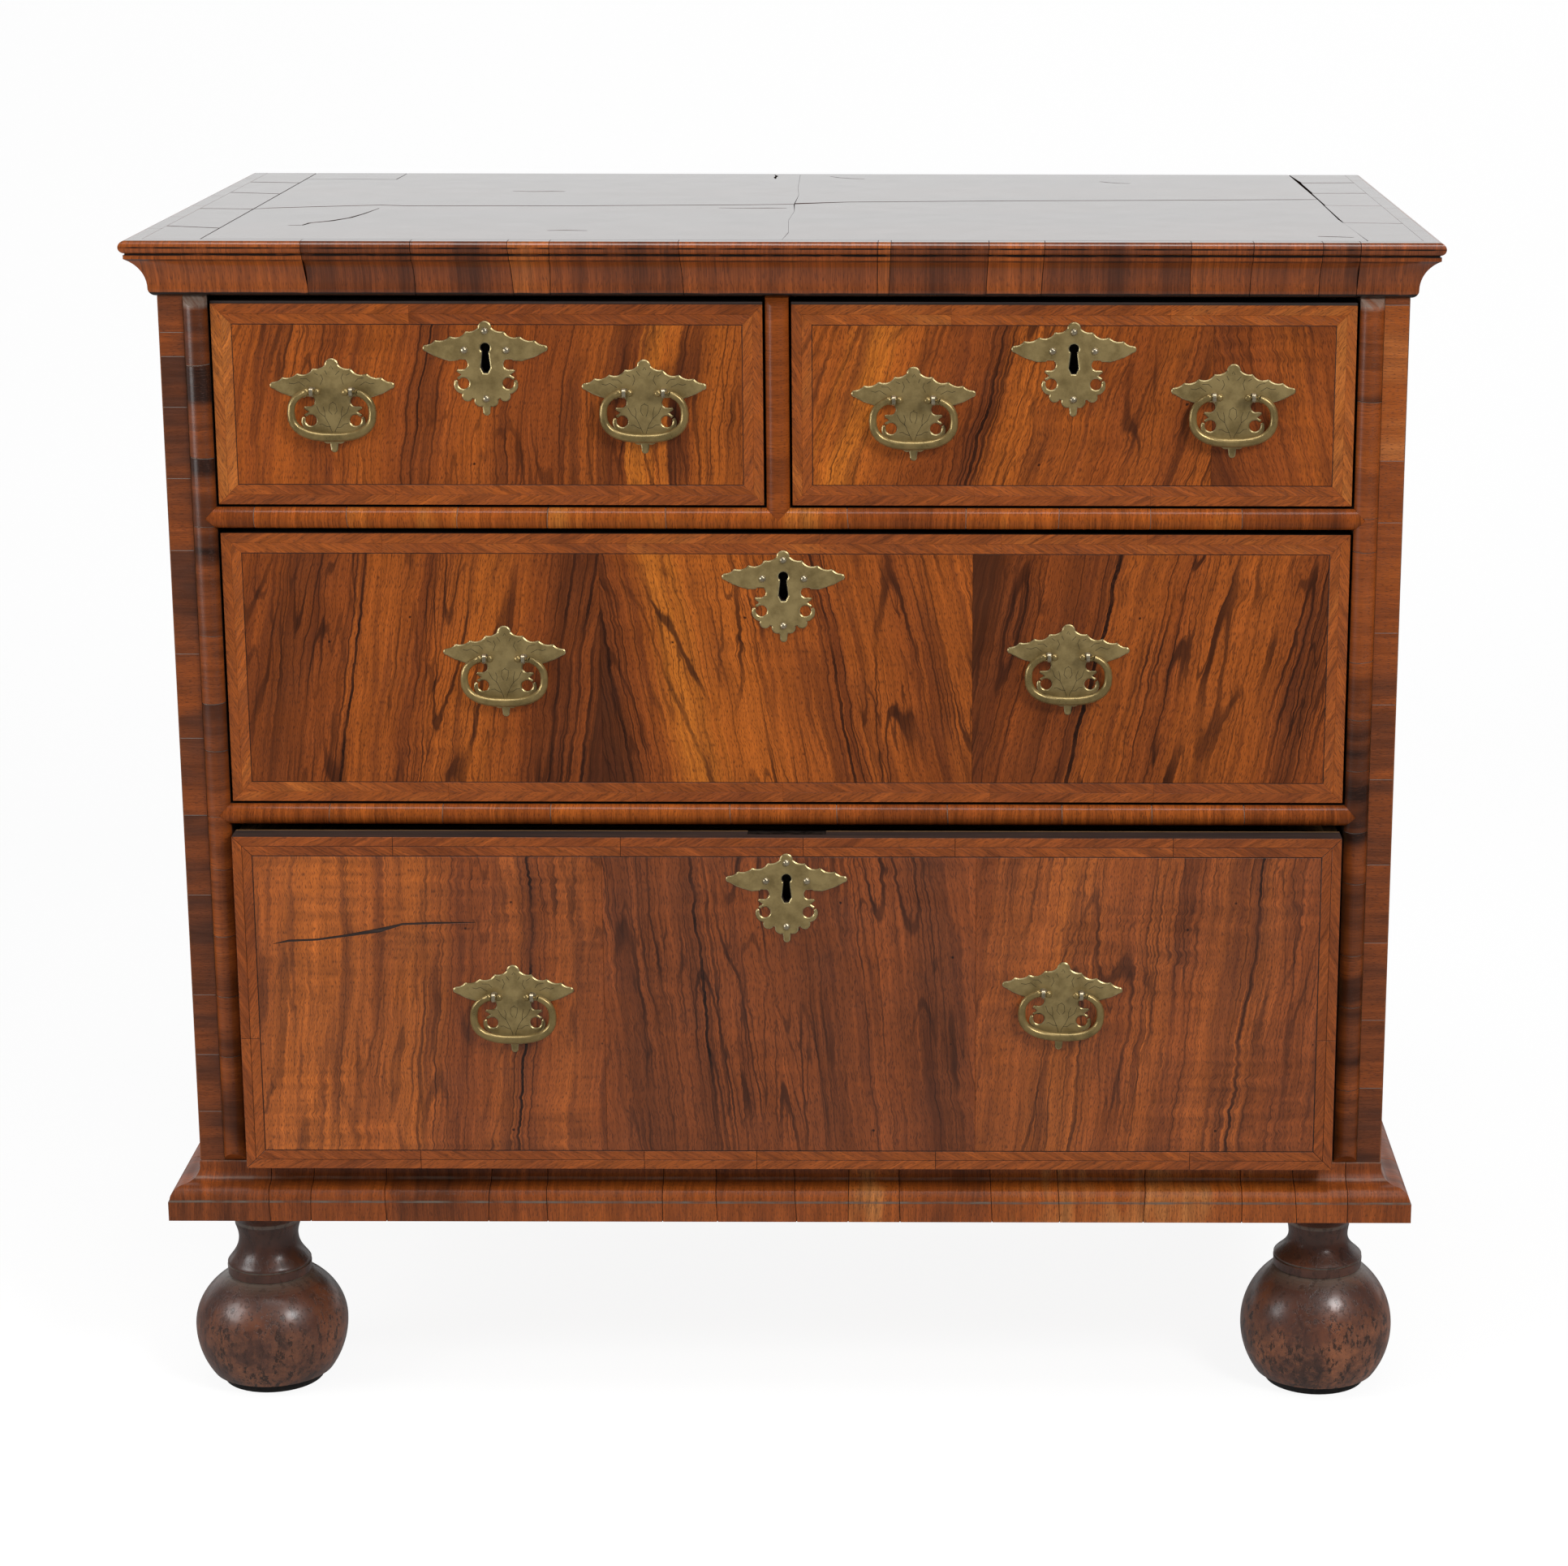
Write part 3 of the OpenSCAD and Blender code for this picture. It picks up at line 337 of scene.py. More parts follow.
def turned_walnut():
    """Old turned walnut: near black in the hollows, worn red-brown, with dents and a wax shine."""
    made, tree = material("waxed turned walnut")
    spot = object_place(tree)
    split = parts(tree, spot)
    grain = noise(tree, stretched(tree, spot, (30, 30, 12)), 1.0, 5.0, distortion=0.8)
    colour = ramp(tree, grain, [(0.3, "#3a231a"), (0.5, "#4a2b1f"), (0.6, "#57301f"), (0.74, "#693a22")])
    # The polish is rubbed thin below the middle of the ball, most of all on the right-hand feet
    wear = spread(tree, noise(tree, spot, 24.0, 8.0, 0.8), 0.42, 0.6, 0.0, 0.8)
    wear = maths(tree, "MULTIPLY", wear, spread(tree, split["Z"], 0.045, 0.085, 1.0, 0.1))
    wear = maths(tree, "MULTIPLY", wear, spread(tree, split["X"], -0.42, 0.4, 0.7, 1.0))
    colour = laid(tree, colour, "#905532", wear)
    # Grey by each face's tint: dust on the ball under the ring and under the cap, and in the groove over the
    # ring dust with a painted highlight
    colour = laid(tree, colour, "#7b766a", attribute(tree, "tint"))
    dent = noise(tree, spot, 60.0, 3.0)
    speck = noise(tree, stretched(tree, spot, (210, 210, 110)), 1.0, 4.0, 0.7)
    mark = spread(tree, speck, 0.52, 0.6, 0.0, 0.85)
    mark = maths(tree, "MULTIPLY", mark, spread(tree, wear, 0.0, 0.3, 0.4, 1.0))
    colour = laid(tree, colour, "#24140d", mark)
    height = maths(tree, "MULTIPLY_ADD", mark, -0.8, dent)
    gloss = spread(tree, dent, 0.3, 0.7, 0.34, 0.46)
    surface(tree, colour, gloss, height, 0.0004, Coat_Weight=0.4, Coat_Roughness=0.22)
    return made


def rough_board(name, dark, light, axis, grain=120.0, rough=(0.6, 0.8), clean=None):
    """Plain sawn boards with straight grain along one axis, of a clean colour behind a depth if given."""
    made, tree = material(name)
    spot = object_place(tree)
    scale = [grain] * 3
    scale[axis] = grain * 0.04
    drawn = stretched(tree, spot, scale)
    colour = ramp(tree, noise(tree, drawn, 1.0, 5.0, distortion=0.4), [(0.3, dark), (0.7, light)])
    fine = noise(tree, stretched(tree, drawn, (7, 7, 7)), 1.0, 2.0)
    shade = spread(tree, fine, 0.3, 0.7, 0.82, 1.1)
    colour = shaded(tree, colour, shade)
    colour = laid(tree, colour, dark, spread(tree, noise(tree, spot, 6.0, 4.0), 0.5, 0.75, 0.0, 0.5))
    if clean:
        depth, tone = clean
        behind = spread(tree, parts(tree, spot)["Y"], depth - 0.0005, depth + 0.0005)
        colour = laid(tree, colour, shaded(tree, linear(tone), shade), behind)
    surface(tree, colour, spread(tree, fine, 0.3, 0.7, *rough), fine, 0.0003)
    return made


def metal(name, dark, light, rough, patch=90.0, bare=1.0):
    """Cast or rolled metal, tarnished in patches, its bare share shining and the rest dull."""
    made, tree = material(name)
    spot = object_place(tree)
    tarnish = noise(tree, spot, patch, 5.0, 0.65)
    colour = ramp(tree, tarnish, [(0.34, dark), (0.6, light)])
    both = maths(tree, "MULTIPLY_ADD", tarnish, 0.8, noise(tree, spot, 900.0, 3.0))
    surface(tree, colour, spread(tree, both, 0.6, 1.2, *rough), both, 0.00006, Metallic=bare)
    return made


def finish_piece(name, bm, materials, body, nodes=(), slot=None, smooth=35.0):
    """Turns a bmesh into a piece that rides on a body and stands for CAD nodes."""
    mesh = bpy.data.meshes.new(name)
    bm.to_mesh(mesh)
    bm.free()
    for stale in ("custom_normal", "sharp_edge", "sharp_face"):
        if stale in mesh.attributes:
            mesh.attributes.remove(mesh.attributes[stale])
    for m in materials:
        mesh.materials.append(m)
    mesh.shade_smooth()
    mesh.set_sharp_from_angle(angle=math.radians(smooth))
    sharp = mesh.attributes.get("sharp_edge") or mesh.attributes.new("sharp_edge", "BOOLEAN", "EDGE")
    for face in mesh.polygons:
        if face.normal.z > 0.9999:
            for k in face.loop_indices:
                sharp.data[mesh.loops[k].edge_index].value = True
    piece = bpy.data.objects.new(name, mesh)
    bpy.context.scene.collection.objects.link(piece)
    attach(piece, body)
    if nodes:
        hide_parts(*nodes)
    return piece


def merged(name):
    """A copy of a CAD node's mesh with its doubles merged and its flat faces joined."""
    bm = bmesh.new()
    bm.from_mesh(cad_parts[name].data)
    for face in bm.faces:
        face.material_index = 0
    bmesh.ops.remove_doubles(bm, verts=bm.verts, dist=2e-6)
    bmesh.ops.dissolve_limit(bm, angle_limit=math.radians(0.4), verts=bm.verts, edges=bm.edges)
    return bm


def layers(bm):
    """The grain map and the seed and tint of each face."""
    uv = bm.loops.layers.uv.get("grain") or bm.loops.layers.uv.new("grain")
    seed = bm.faces.layers.float.get("seed") or bm.faces.layers.float.new("seed")
    tint = bm.faces.layers.float.get("tint") or bm.faces.layers.float.new("tint")
    return uv, seed, tint


def inset(loop, by):
    """A closed outline moved towards its left side, which is the inside of a counter-clockwise one."""
    count = len(loop)
    moved = []
    for k, (x, y) in enumerate(loop):
        px, py = loop[k - 1]
        nx, ny = loop[(k + 1) % count]
        a, b = Vector((x - px, y - py)), Vector((nx - x, ny - y))
        if a.length < 1e-9 or b.length < 1e-9:
            moved.append((x, y))
            continue
        a.normalize()
        b.normalize()
        left_a, left_b = Vector((-a.y, a.x)), Vector((-b.y, b.x))
        half = left_a + left_b
        if half.length < 1e-6:
            moved.append((x, y))
            continue
        half.normalize()
        reach = by / max(0.45, half.dot(left_a))
        moved.append((x + half.x * reach, y + half.y * reach))
    return moved


def area(loop):
    """The signed area of a closed outline."""
    return sum(p[0] * q[1] - q[0] * p[1] for p, q in zip(loop, loop[1:] + loop[:1])) / 2


def dense(loop, step):
    """An outline with points no farther apart than a step."""
    points = []
    for (x, y), (p, q) in zip(loop, loop[1:] + loop[:1]):
        count = max(1, math.ceil(math.hypot(p - x, q - y) / step))
        points += [(x + (p - x) * k / count, y + (q - y) * k / count) for k in range(count)]
    return points


def chamfered(loops, by):
    """Outlines drawn into the material by a distance, or by less where the material is narrow."""
    points = np.array([p for loop in loops for p in loop])
    moved = []
    for loop in loops:
        rows = np.array(loop)
        along = np.roll(rows, -1, 0) - np.roll(rows, 1, 0)
        length = np.maximum(np.hypot(along[:, 0], along[:, 1]), 1e-9)
        left = np.stack([-along[:, 1], along[:, 0]], 1) / length[:, None]
        gap = points[None] - rows[:, None]
        toward = np.einsum("ijk,ik->ij", gap, left)
        ball = np.where(toward > 1e-3, (gap**2).sum(2) / np.maximum(2 * toward, 1e-6), 1e9).min(1)
        moved.append([tuple(p) for p in rows + left * np.minimum(by, ball * 0.9)[:, None]])
    return moved


def slab(
    bm, place, loops, low, high, ease, grain, seed=0.0, tint=0.5, index=0, chamfer=None, edge_index=None
):
    """A flat piece cut to outlines in millimetres, the first one its rim, with eased upper edges."""
    uv, seed_layer, tint_layer = layers(bm)
    rims, flat = [], []
    loops = [loop if (area(loop) > 0) == (k == 0) else loop[::-1] for k, loop in enumerate(loops)]
    inner = chamfered(loops, chamfer) if chamfer else [inset(loop, ease) for loop in loops]
    for loop, drawn in zip(loops, inner):
        rings = ((loop, low), (loop, high - ease), (drawn, high))
        rims.append([[bm.verts.new(place(p, q, d)) for p, q in ring] for ring, d in rings])
        flat.append((loop, rings[2][0]))
    faces = []
    for rings in rims:
        for lower, upper in zip(rings, rings[1:]):
            for k in range(len(lower)):
                n = (k + 1) % len(lower)
                faces.append(bm.faces.new((upper[k], lower[k], lower[n], upper[n])))
    for top in (True, False):
        outlines = [f[1] if top else f[0] for f in flat]
        points = [p for o in outlines for p in o]
        verts = [v for rings in rims for v in (rings[2] if top else rings[0])]
        for tri in tessellate_polygon([[Vector((p[0], p[1], 0)) for p in o] for o in outlines]):
            a, b, c = (points[i] for i in tri)
            turn = (b[0] - a[0]) * (c[1] - a[1]) - (b[1] - a[1]) * (c[0] - a[0])
            if abs(turn) < 1e-9:
                continue
            order = tri if (turn > 0) == top else tri[::-1]
            faces.append(bm.faces.new([verts[i] for i in order]))
    at = {}
    for rings, (loop, inner) in zip(rims, flat):
        for ring, outline in zip(rings, (loop, loop, inner)):
            for v, p in zip(ring, outline):
                at[v] = grain(*p)
    for face in faces:
        face.material_index = index if edge_index is None or len(face.verts) == 3 else edge_index
        face[seed_layer] = seed
        face[tint_layer] = tint
        for corner in face.loops:
            u, v = at[corner.vert]
            corner[uv].uv = (u * MM, v * MM)


def box_loop(x0, y0, x1, y1, gap=0.0):
    """A rectangle's outline, drawn in by a gap."""
    return [(x0 + gap, y0 + gap), (x1 - gap, y0 + gap), (x1 - gap, y1 - gap), (x0 + gap, y1 - gap)]


def front_face(y):
    """Places a point of x, z and height above a front that faces -Y."""
    return lambda p, q, d: (p * MM, (y - d) * MM, q * MM)


def cuts_between(start, end, step, source, play):
    """Uneven places at which a run is cut into lengths of about one step."""
    count = max(1, round((end - start) / step))
    inner = [start + (end - start) * (k + source.uniform(-play, play)) / count for k in range(1, count)]
    return [start, *inner, end]


def feather_band(bm, place, box, strip, lift, ease, tints, seed, index):
    """Two mitred strips of slanting grain round a panel, cut into lengths of their own tint."""
    x0, z0, x1, z1 = box
    # Each side's length, a place from its run and depth, and the run and depth of a place
    sides = (
        (x1 - x0, lambda s, t: (x0 + s, z0 + t), lambda x, z: (x - x0, z - z0)),
        (z1 - z0, lambda s, t: (x1 - t, z0 + s), lambda x, z: (z - z0, x1 - x)),
        (x1 - x0, lambda s, t: (x1 - s, z1 - t), lambda x, z: (x1 - x, z1 - z)),
        (z1 - z0, lambda s, t: (x0 + t, z1 - s), lambda x, z: (z1 - z, x - x0)),
    )
    joint = 0.2 if seed == "bottom" else 0.03
    cosine, sine = 0.45, 0.893
    source = random.Random(seed)
    for k, (length, at, back) in enumerate(sides):
        cuts = cuts_between(0, length, 140, source, 0.22)
        for a, b in zip(cuts, cuts[1:]):
            tone = min(1.0, max(0.0, tints[k] + source.uniform(-0.06, 0.06)))
            for row, slant in enumerate((-1, 1)):
                near, far = row * strip, (row + 1) * strip
                loop = [at(max(a, near), near), at(min(b, length - near), near)]
                loop += [at(min(b, length - far), far), at(max(a, far), far)]

                def grain(x, z, k=k, slant=slant, back=back):
                    s, t = back(x, z)
                    return s * cosine + slant * t * sine + 900 * k, s * sine - slant * t * cosine

                own = source.uniform(0, 90)
                slab(bm, place, [inset(loop, joint)], 0.0, lift, ease, grain, own, tone, index)


def keyhole(x, z, radius=4.3, length=19.6):
    """The outline of a keyhole, a hair wider than the one in its plate: a round over a splayed slot."""
    loop = [(x + radius * math.cos(a), z + radius * math.sin(a)) for a in
            (math.radians(-56 + 292 * k / 18) for k in range(19))]
    foot = [(-1.0, 0.78), (-0.5, 1.0), (0.5, 1.0), (1.0, 0.78)]
    return loop + [(x + radius * p, z - length * q) for p, q in foot]


def crack(points, width, source):
    """A thin closed outline along a line of points, widest in the middle and ragged."""
    upper, lower = [], []
    for k, point in enumerate(points):
        ahead = Vector(points[min(k + 1, len(points) - 1)]) - Vector(points[max(k - 1, 0)])
        half = max(0.08, width / 2 * math.sin(math.pi * (k + 0.4) / (len(points) - 0.2))) * source.uniform(
            0.7, 1.3
        )
        across = Vector((-ahead.y, ahead.x)).normalized() * half
        upper.append(tuple(Vector(point) + across))
        lower.append(tuple(Vector(point) - across))
    return lower + upper[::-1]


# Leaves of veneer on each drawer front: their left and right edges, how far their grain leans over a
# millimetre, their bands of colour from the left edge, and their veins as place, half width and strength
LEAVES = {
    "top_left": [
        dict(x=(-409.5, -33), lean=0.12, curl=0.5, lines=0.6, sway=13, seed=3.1,
             tones=[(0, "orange"), (22, "russet"), (40, "orange"), (70, "russet"), (100, "orange"),
                    (126, "russet"), (140, "brown"), (152, "russet"), (180, "orange"), (215, "russet"),
                    (245, "russet"), (268, "orange"), (285, "brown"), (296, "russet"), (304, "gold"),
                    (324, "honey"), (
                        334, "brown"
                    ),
                    (342, "orange"), (360, "honey"), (376, "orange")],
             veins=[(138, 2.4, 0.85), (131, 1.4, 0.6), (126, 1.0, 0.5), (145, 1.0, 0.6), (151, 1.2, 0.5),
                    (205, 1.2, 0.5), (218, 0.9, 0.4), (246, 1.0, 0.5), (286, 1.6, 0.6), (332, 1.4, 0.6),
                    (60, 1.2, 0.35), (92, 1.0, 0.35)]),
    ],
    "top_right": [
        dict(x=(22.5, 320), lean=0.30, curl=0.6, lines=0.7, sway=11, seed=7.7,
             tones=[(0, "orange"), (16, "honey"), (34, "gold"), (52, "honey"), (72, "orange"),
                    (96, "russet"), (120, "russet"), (131, "brown"), (139, "orange"), (156, "honey"),
                    (176, "orange"), (
                        205, "orange"
                    ),
                    (232, "russet"), (256, "orange"), (280, "russet"), (297, "orange")],
             veins=[(131, 2.8, 0.9), (124, 1.2, 0.7), (138, 1.0, 0.5), (30, 1.0, 0.5), (48, 1.0, 0.5),
                    (80, 1.0, 0.4), (168, 1.1, 0.5), (196, 1.2, 0.55), (223, 1.1, 0.5), (250, 1.0, 0.5),
                    (272, 1.0, 0.4)]),
        dict(x=(320, 409.5), lean=-0.25, curl=1.2, lines=0.5, sway=9, seed=11.3,
             tones=[(0, "brown"), (20, "russet"), (45, "russet"), (70, "orange"), (89, "russet")],
             veins=[(14, 1.2, 0.5), (38, 1.0, 0.5), (63, 1.2, 0.5)]),
    ],
    "middle": [
        dict(x=(-409.5, -141.5), lean=0.14, curl=0.5, lines=0.8, sway=7, seed=19.2,
             tones=[(0, "russet"), (26, "brown"), (66, "russet"), (76, "brown"), (82, "orange"),
                    (104, "orange"), (128, "russet"), (146, "orange"), (176, "honey"), (198, "orange"),
                    (216, "russet"), (232, "brown"), (246, "brown"), (256, "russet"), (268, "umber")],
             veins=[(79, 2.8, 0.95), (73, 1.0, 0.6), (124, 1.0, 0.5), (129, 1.3, 0.65), (134, 0.9, 0.5),
                    (142, 1.0, 0.5), (152, 0.8, 0.4), (221, 1.2, 0.6), (229, 1.0, 0.6), (237, 1.8, 0.75),
                    (246, 1.2, 0.7), (253, 2.0, 0.8), (262, 2.2, 0.8)]),
        dict(x=(-141.5, 141.5), lean=-0.20, curl=0.9, lines=0.8, sway=6, seed=19.9,
             tones=[(0, "umber"), (10, "brown"), (24, "russet"), (38, "orange"), (58, "gold"),
                    (84, "honey"), (110, "honey"), (138, "orange"), (160, "orange"), (178, "russet"),
                    (190, "orange"), (212, "orange"), (240, "russet"), (262, "orange"), (283, "orange")],
             veins=[(7, 2.2, 0.8), (14, 1.4, 0.7), (20, 1.6, 0.7), (30, 1.0, 0.5), (70, 0.9, 0.4),
                    (92, 0.9, 0.4), (116, 1.0, 0.45), (170, 1.0, 0.5), (176, 2.2, 0.85), (184, 1.4, 0.8),
                    (192, 1.0, 0.5), (246, 1.0, 0.4), (262, 0.9, 0.4)]),
        dict(x=(141.5, 409.5), lean=0.22, curl=0.5, lines=0.9, sway=7, seed=23.4,
             tones=[(0, "umber"), (16, "brown"), (40, "russet"), (60, "brown"), (78, "russet"),
                    (90, "brown"), (96, "orange"), (122, "orange"), (150, "russet"), (170, "orange"),
                    (196, "orange"), (222, "orange"), (240, "russet"), (250, "brown"), (262, "brown"),
                    (268, "russet")],
             veins=[(92, 2.8, 0.95), (84, 1.2, 0.6), (101, 1.0, 0.5), (26, 1.0, 0.6), (38, 1.2, 0.6),
                    (56, 1.2, 0.6), (66, 1.0, 0.5), (136, 1.3, 0.6), (143, 1.0, 0.5), (150, 1.3, 0.65),
                    (208, 1.0, 0.45), (252, 1.6, 0.6)]),
    ],
    "bottom": [
        dict(x=(-407.5, -142), lean=0.06, curl=1.5, lines=0.5, sway=8, seed=31.0,
             tones=[(0, "orange"), (24, "honey"), (60, "honey"), (88, "orange"), (116, "honey"),
                    (134, "orange"), (150, "russet"), (168, "russet"), (192, "orange"), (204, "brown"),
                    (209, "russet"), (240, "orange"), (265, "russet")],
             veins=[(204, 2.6, 0.95), (197, 1.0, 0.6), (212, 1.2, 0.6), (63, 1.2, 0.5), (72, 0.9, 0.4),
                    (93, 1.0, 0.4), (124, 1.4, 0.5), (136, 1.2, 0.55), (144, 1.2, 0.5), (160, 1.0, 0.4),
                    (236, 1.0, 0.4)]),
        dict(x=(-142, 145), lean=-0.09, curl=0.6, lines=0.8, sway=8, seed=37.5,
             tones=[(0, "russet"), (26, "brown"), (52, "russet"), (76, "brown"), (90, "russet"),
                    (134, "russet"), (170, "brown"), (200, "russet"), (222, "russet"), (246, "brown"),
                    (266, "brown"), (287, "russet")],
             veins=[(78, 2.8, 0.95), (70, 1.2, 0.6), (88, 1.4, 0.6), (97, 1.0, 0.5), (30, 1.0, 0.4),
                    (52, 1.2, 0.5), (160, 1.2, 0.5), (168, 1.0, 0.4), (201, 1.6, 0.6), (213, 1.2, 0.5),
                    (250, 1.4, 0.6), (262, 1.0, 0.5)]),
        dict(x=(145, 407.5), lean=0.11, curl=1.3, lines=0.6, sway=8, seed=41.8,
             tones=[(0, "russet"), (12, "orange"), (44, "orange"), (66, "honey"), (90, "orange"),
                    (112, "russet"), (134, "orange"), (160, "russet"), (186, "orange"), (206, "brown"),
                    (212, "orange"), (238, "russet"), (262, "russet")],
             veins=[(209, 2.8, 0.9), (201, 1.2, 0.6), (218, 1.2, 0.5), (54, 1.2, 0.5), (74, 1.2, 0.5),
                    (82, 0.9, 0.4), (88, 1.0, 0.45), (130, 1.2, 0.5), (164, 1.6, 0.6), (172, 1.0, 0.4),
                    (240, 1.0, 0.4)]),
    ],
}
# Colour of the banding from the bottom side round to the left, from dark to golden
BAND_TINTS = {
    "top_left": (0.50, 0.62, 0.46, 0.80),
    "top_right": (0.50, 0.80, 0.66, 0.60),
    "middle": (0.55, 0.55, 0.58, 0.62),
    "bottom": (0.50, 0.42, 0.40, 0.46),
}


class VeneerSettings(bpy.types.PropertyGroup):
    """Sizes of the veneers."""

    lift: FloatProperty(
        name="Veneer lift", description="How far the leaves stand above the core", default=0.5, unit="NONE"
    )
    strip: FloatProperty(
        name="Strip width", description="Width of one of the band's two strips in millimetres", default=7.5
    )
    gap: FloatProperty(name="Joint", description="Open joint between two leaves in millimetres", default=0.14)
    ease: FloatProperty(
        name="Eased edge", description="Rounding of a leaf's edge in millimetres", default=0.12
    )


class MouldingSettings(bpy.types.PropertyGroup):
    """Sizes of the cross-grained blocks."""

    gap: FloatProperty(name="Seam", description="Open seam between two blocks in millimetres", default=0.5)
    ease: FloatProperty(
        name="Worn edge", description="Wear of a block's edge at a seam in millimetres", default=0.25
    )


class BrassSettings(bpy.types.PropertyGroup):
    """Sizes of the brasses."""

    chamfer: FloatProperty(
        name="Chamfer", description="Filed bevel round a plate in millimetres", default=0.8
    )
    stroke: FloatProperty(
        name="Engraved stroke", description="Width of an engraved line in millimetres", default=0.34
    )
    pin_sides: IntProperty(name="Pin facets", description="Facets round a domed pin", default=24)


class StudioSettings(bpy.types.PropertyGroup):
    """The camera and the lamps."""

    lens: FloatProperty(
        name="Lens", description="Focal length in millimetres", default=84.47, subtype="DISTANCE_CAMERA"
    )
    eye: FloatVectorProperty(
        name="Camera", description="Place of the camera", default=(0.107, -2.9814, 1.219), subtype="XYZ"
    )
    pitch: FloatProperty(
        name="Pitch", description="Tilt of the camera below level, in degrees", default=14.56
    )
    roll: FloatProperty(name="Roll", description="Turn of the picture in degrees", default=0.11)
    shift: FloatProperty(name="Shift", description="Sideways shift of the picture", default=-0.0911)
    near_power: FloatProperty(name="Near lamp", description="Power of the near softbox in watts", default=7.0)
    key_power: FloatProperty(name="Key lamp", description="Power of the far key lamp in watts", default=70.0)
    top_power: FloatProperty(
        name="Overhead lamp", description="Power of the overhead lamp in watts", default=26.0
    )
    fill: FloatProperty(name="Fill", description="Level of the light from all round", default=0.42)
    dim: FloatProperty(name="Room", description="Level of the room that glossy surfaces see", default=0.1)


class CHEST_OT_drawer_veneers(bpy.types.Operator):
    """Lays the figured leaves and the feather banding on the drawer fronts"""

    bl_idname = "chest.drawer_veneers"
    bl_label = "Drawer veneers"

    def execute(self, context):
        s = context.scene.chest_veneer
        band = plain_walnut("feather banding of straight walnut", "#45200e", "#aa6226", figure=1.5)
        split = [
            (-396, 386), (-384, 388.5), (-362, 389.5), (-338, 393), (-314, 397), (-296, 402), (-272, 403)
        ]
        split.append((-240, 403.5))
        width, line = 2 * s.strip + 0.3, 0.2
        for name in DRAWERS:
            small = name.startswith("top")
            low, high = (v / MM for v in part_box(name + "_front"))
            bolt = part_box(name + "_bolt")
            key_x = (bolt[0].x + bolt[1].x) / 2 / MM
            key_z = high.z - (34.5 if small else 32.5)
            place = front_face(low.y)
            # The veneers of the small drawers stop 1.9 mm low, so that the near-black edge of the front shows
            # above them as painted shade and the gap above looks wider
            high.z -= 1.9 * small
            bm = bmesh.new()
            source = random.Random(name)
            materials = [band]
            polish = dict(coat=0.14, shine=0.35) if name == "bottom" else {}
            for leaf in LEAVES[name]:
                x0, x1 = leaf["x"]
                figure = {key: leaf[key] for key in ("tones", "veins", "curl", "lines", "sway")}
                title = f"{name} figured walnut {len(materials)}"
                materials.append(figured_walnut(title, x1 - x0, **figure, **polish))
                z0, z1 = low.z + width, high.z - width
                middle = (z0 + z1) / 2
                a = low.x + width + line if leaf is LEAVES[name][0] else x0
                b = high.x - width - line if leaf is LEAVES[name][-1] else x1
                loops = [box_loop(a, z0 + line, b, z1 - line, s.gap / 2)]
                if x0 < key_x < x1:
                    loops.append(keyhole(key_x, key_z))
                if name == "bottom" and x0 < split[0][0] < x1:
                    loops.append(crack(split, 2.8, source))

                def grain(x, z, x0=x0, middle=middle, leaf=leaf):
                    return x - x0 - (z - middle) * leaf["lean"], z

                slab(bm, place, loops, 0.0, s.lift, s.ease, grain, leaf["seed"], 0.5, len(materials) - 1)
            box = low.x, low.z, high.x, high.z
            feather_band(bm, place, box, s.strip, s.lift, s.ease, BAND_TINTS[name], name, 0)
            finish_piece(name + "_veneer", bm, materials, name + "_drawer", slot="walnut")
        return {"FINISHED"}


def trimmed(bm, point, normal):
    """Cuts off what lies beyond a plane, and closes the cut."""
    whole = bm.verts[:] + bm.edges[:] + bm.faces[:]
    cut = bmesh.ops.bisect_plane(
        bm, geom=whole, dist=1e-7, plane_co=point, plane_no=normal, clear_outer=True
    )
    rim = [e for e in cut["geom_cut"] if isinstance(e, bmesh.types.BMEdge)]
    if rim:
        bmesh.ops.edgeloop_fill(bm, edges=rim)


def pour(bm, into):
    """Moves everything in one bmesh into another."""
    mesh = bpy.data.meshes.new("part")
    bm.to_mesh(mesh)
    bm.free()
    into.from_mesh(mesh)
    bpy.data.meshes.remove(mesh)


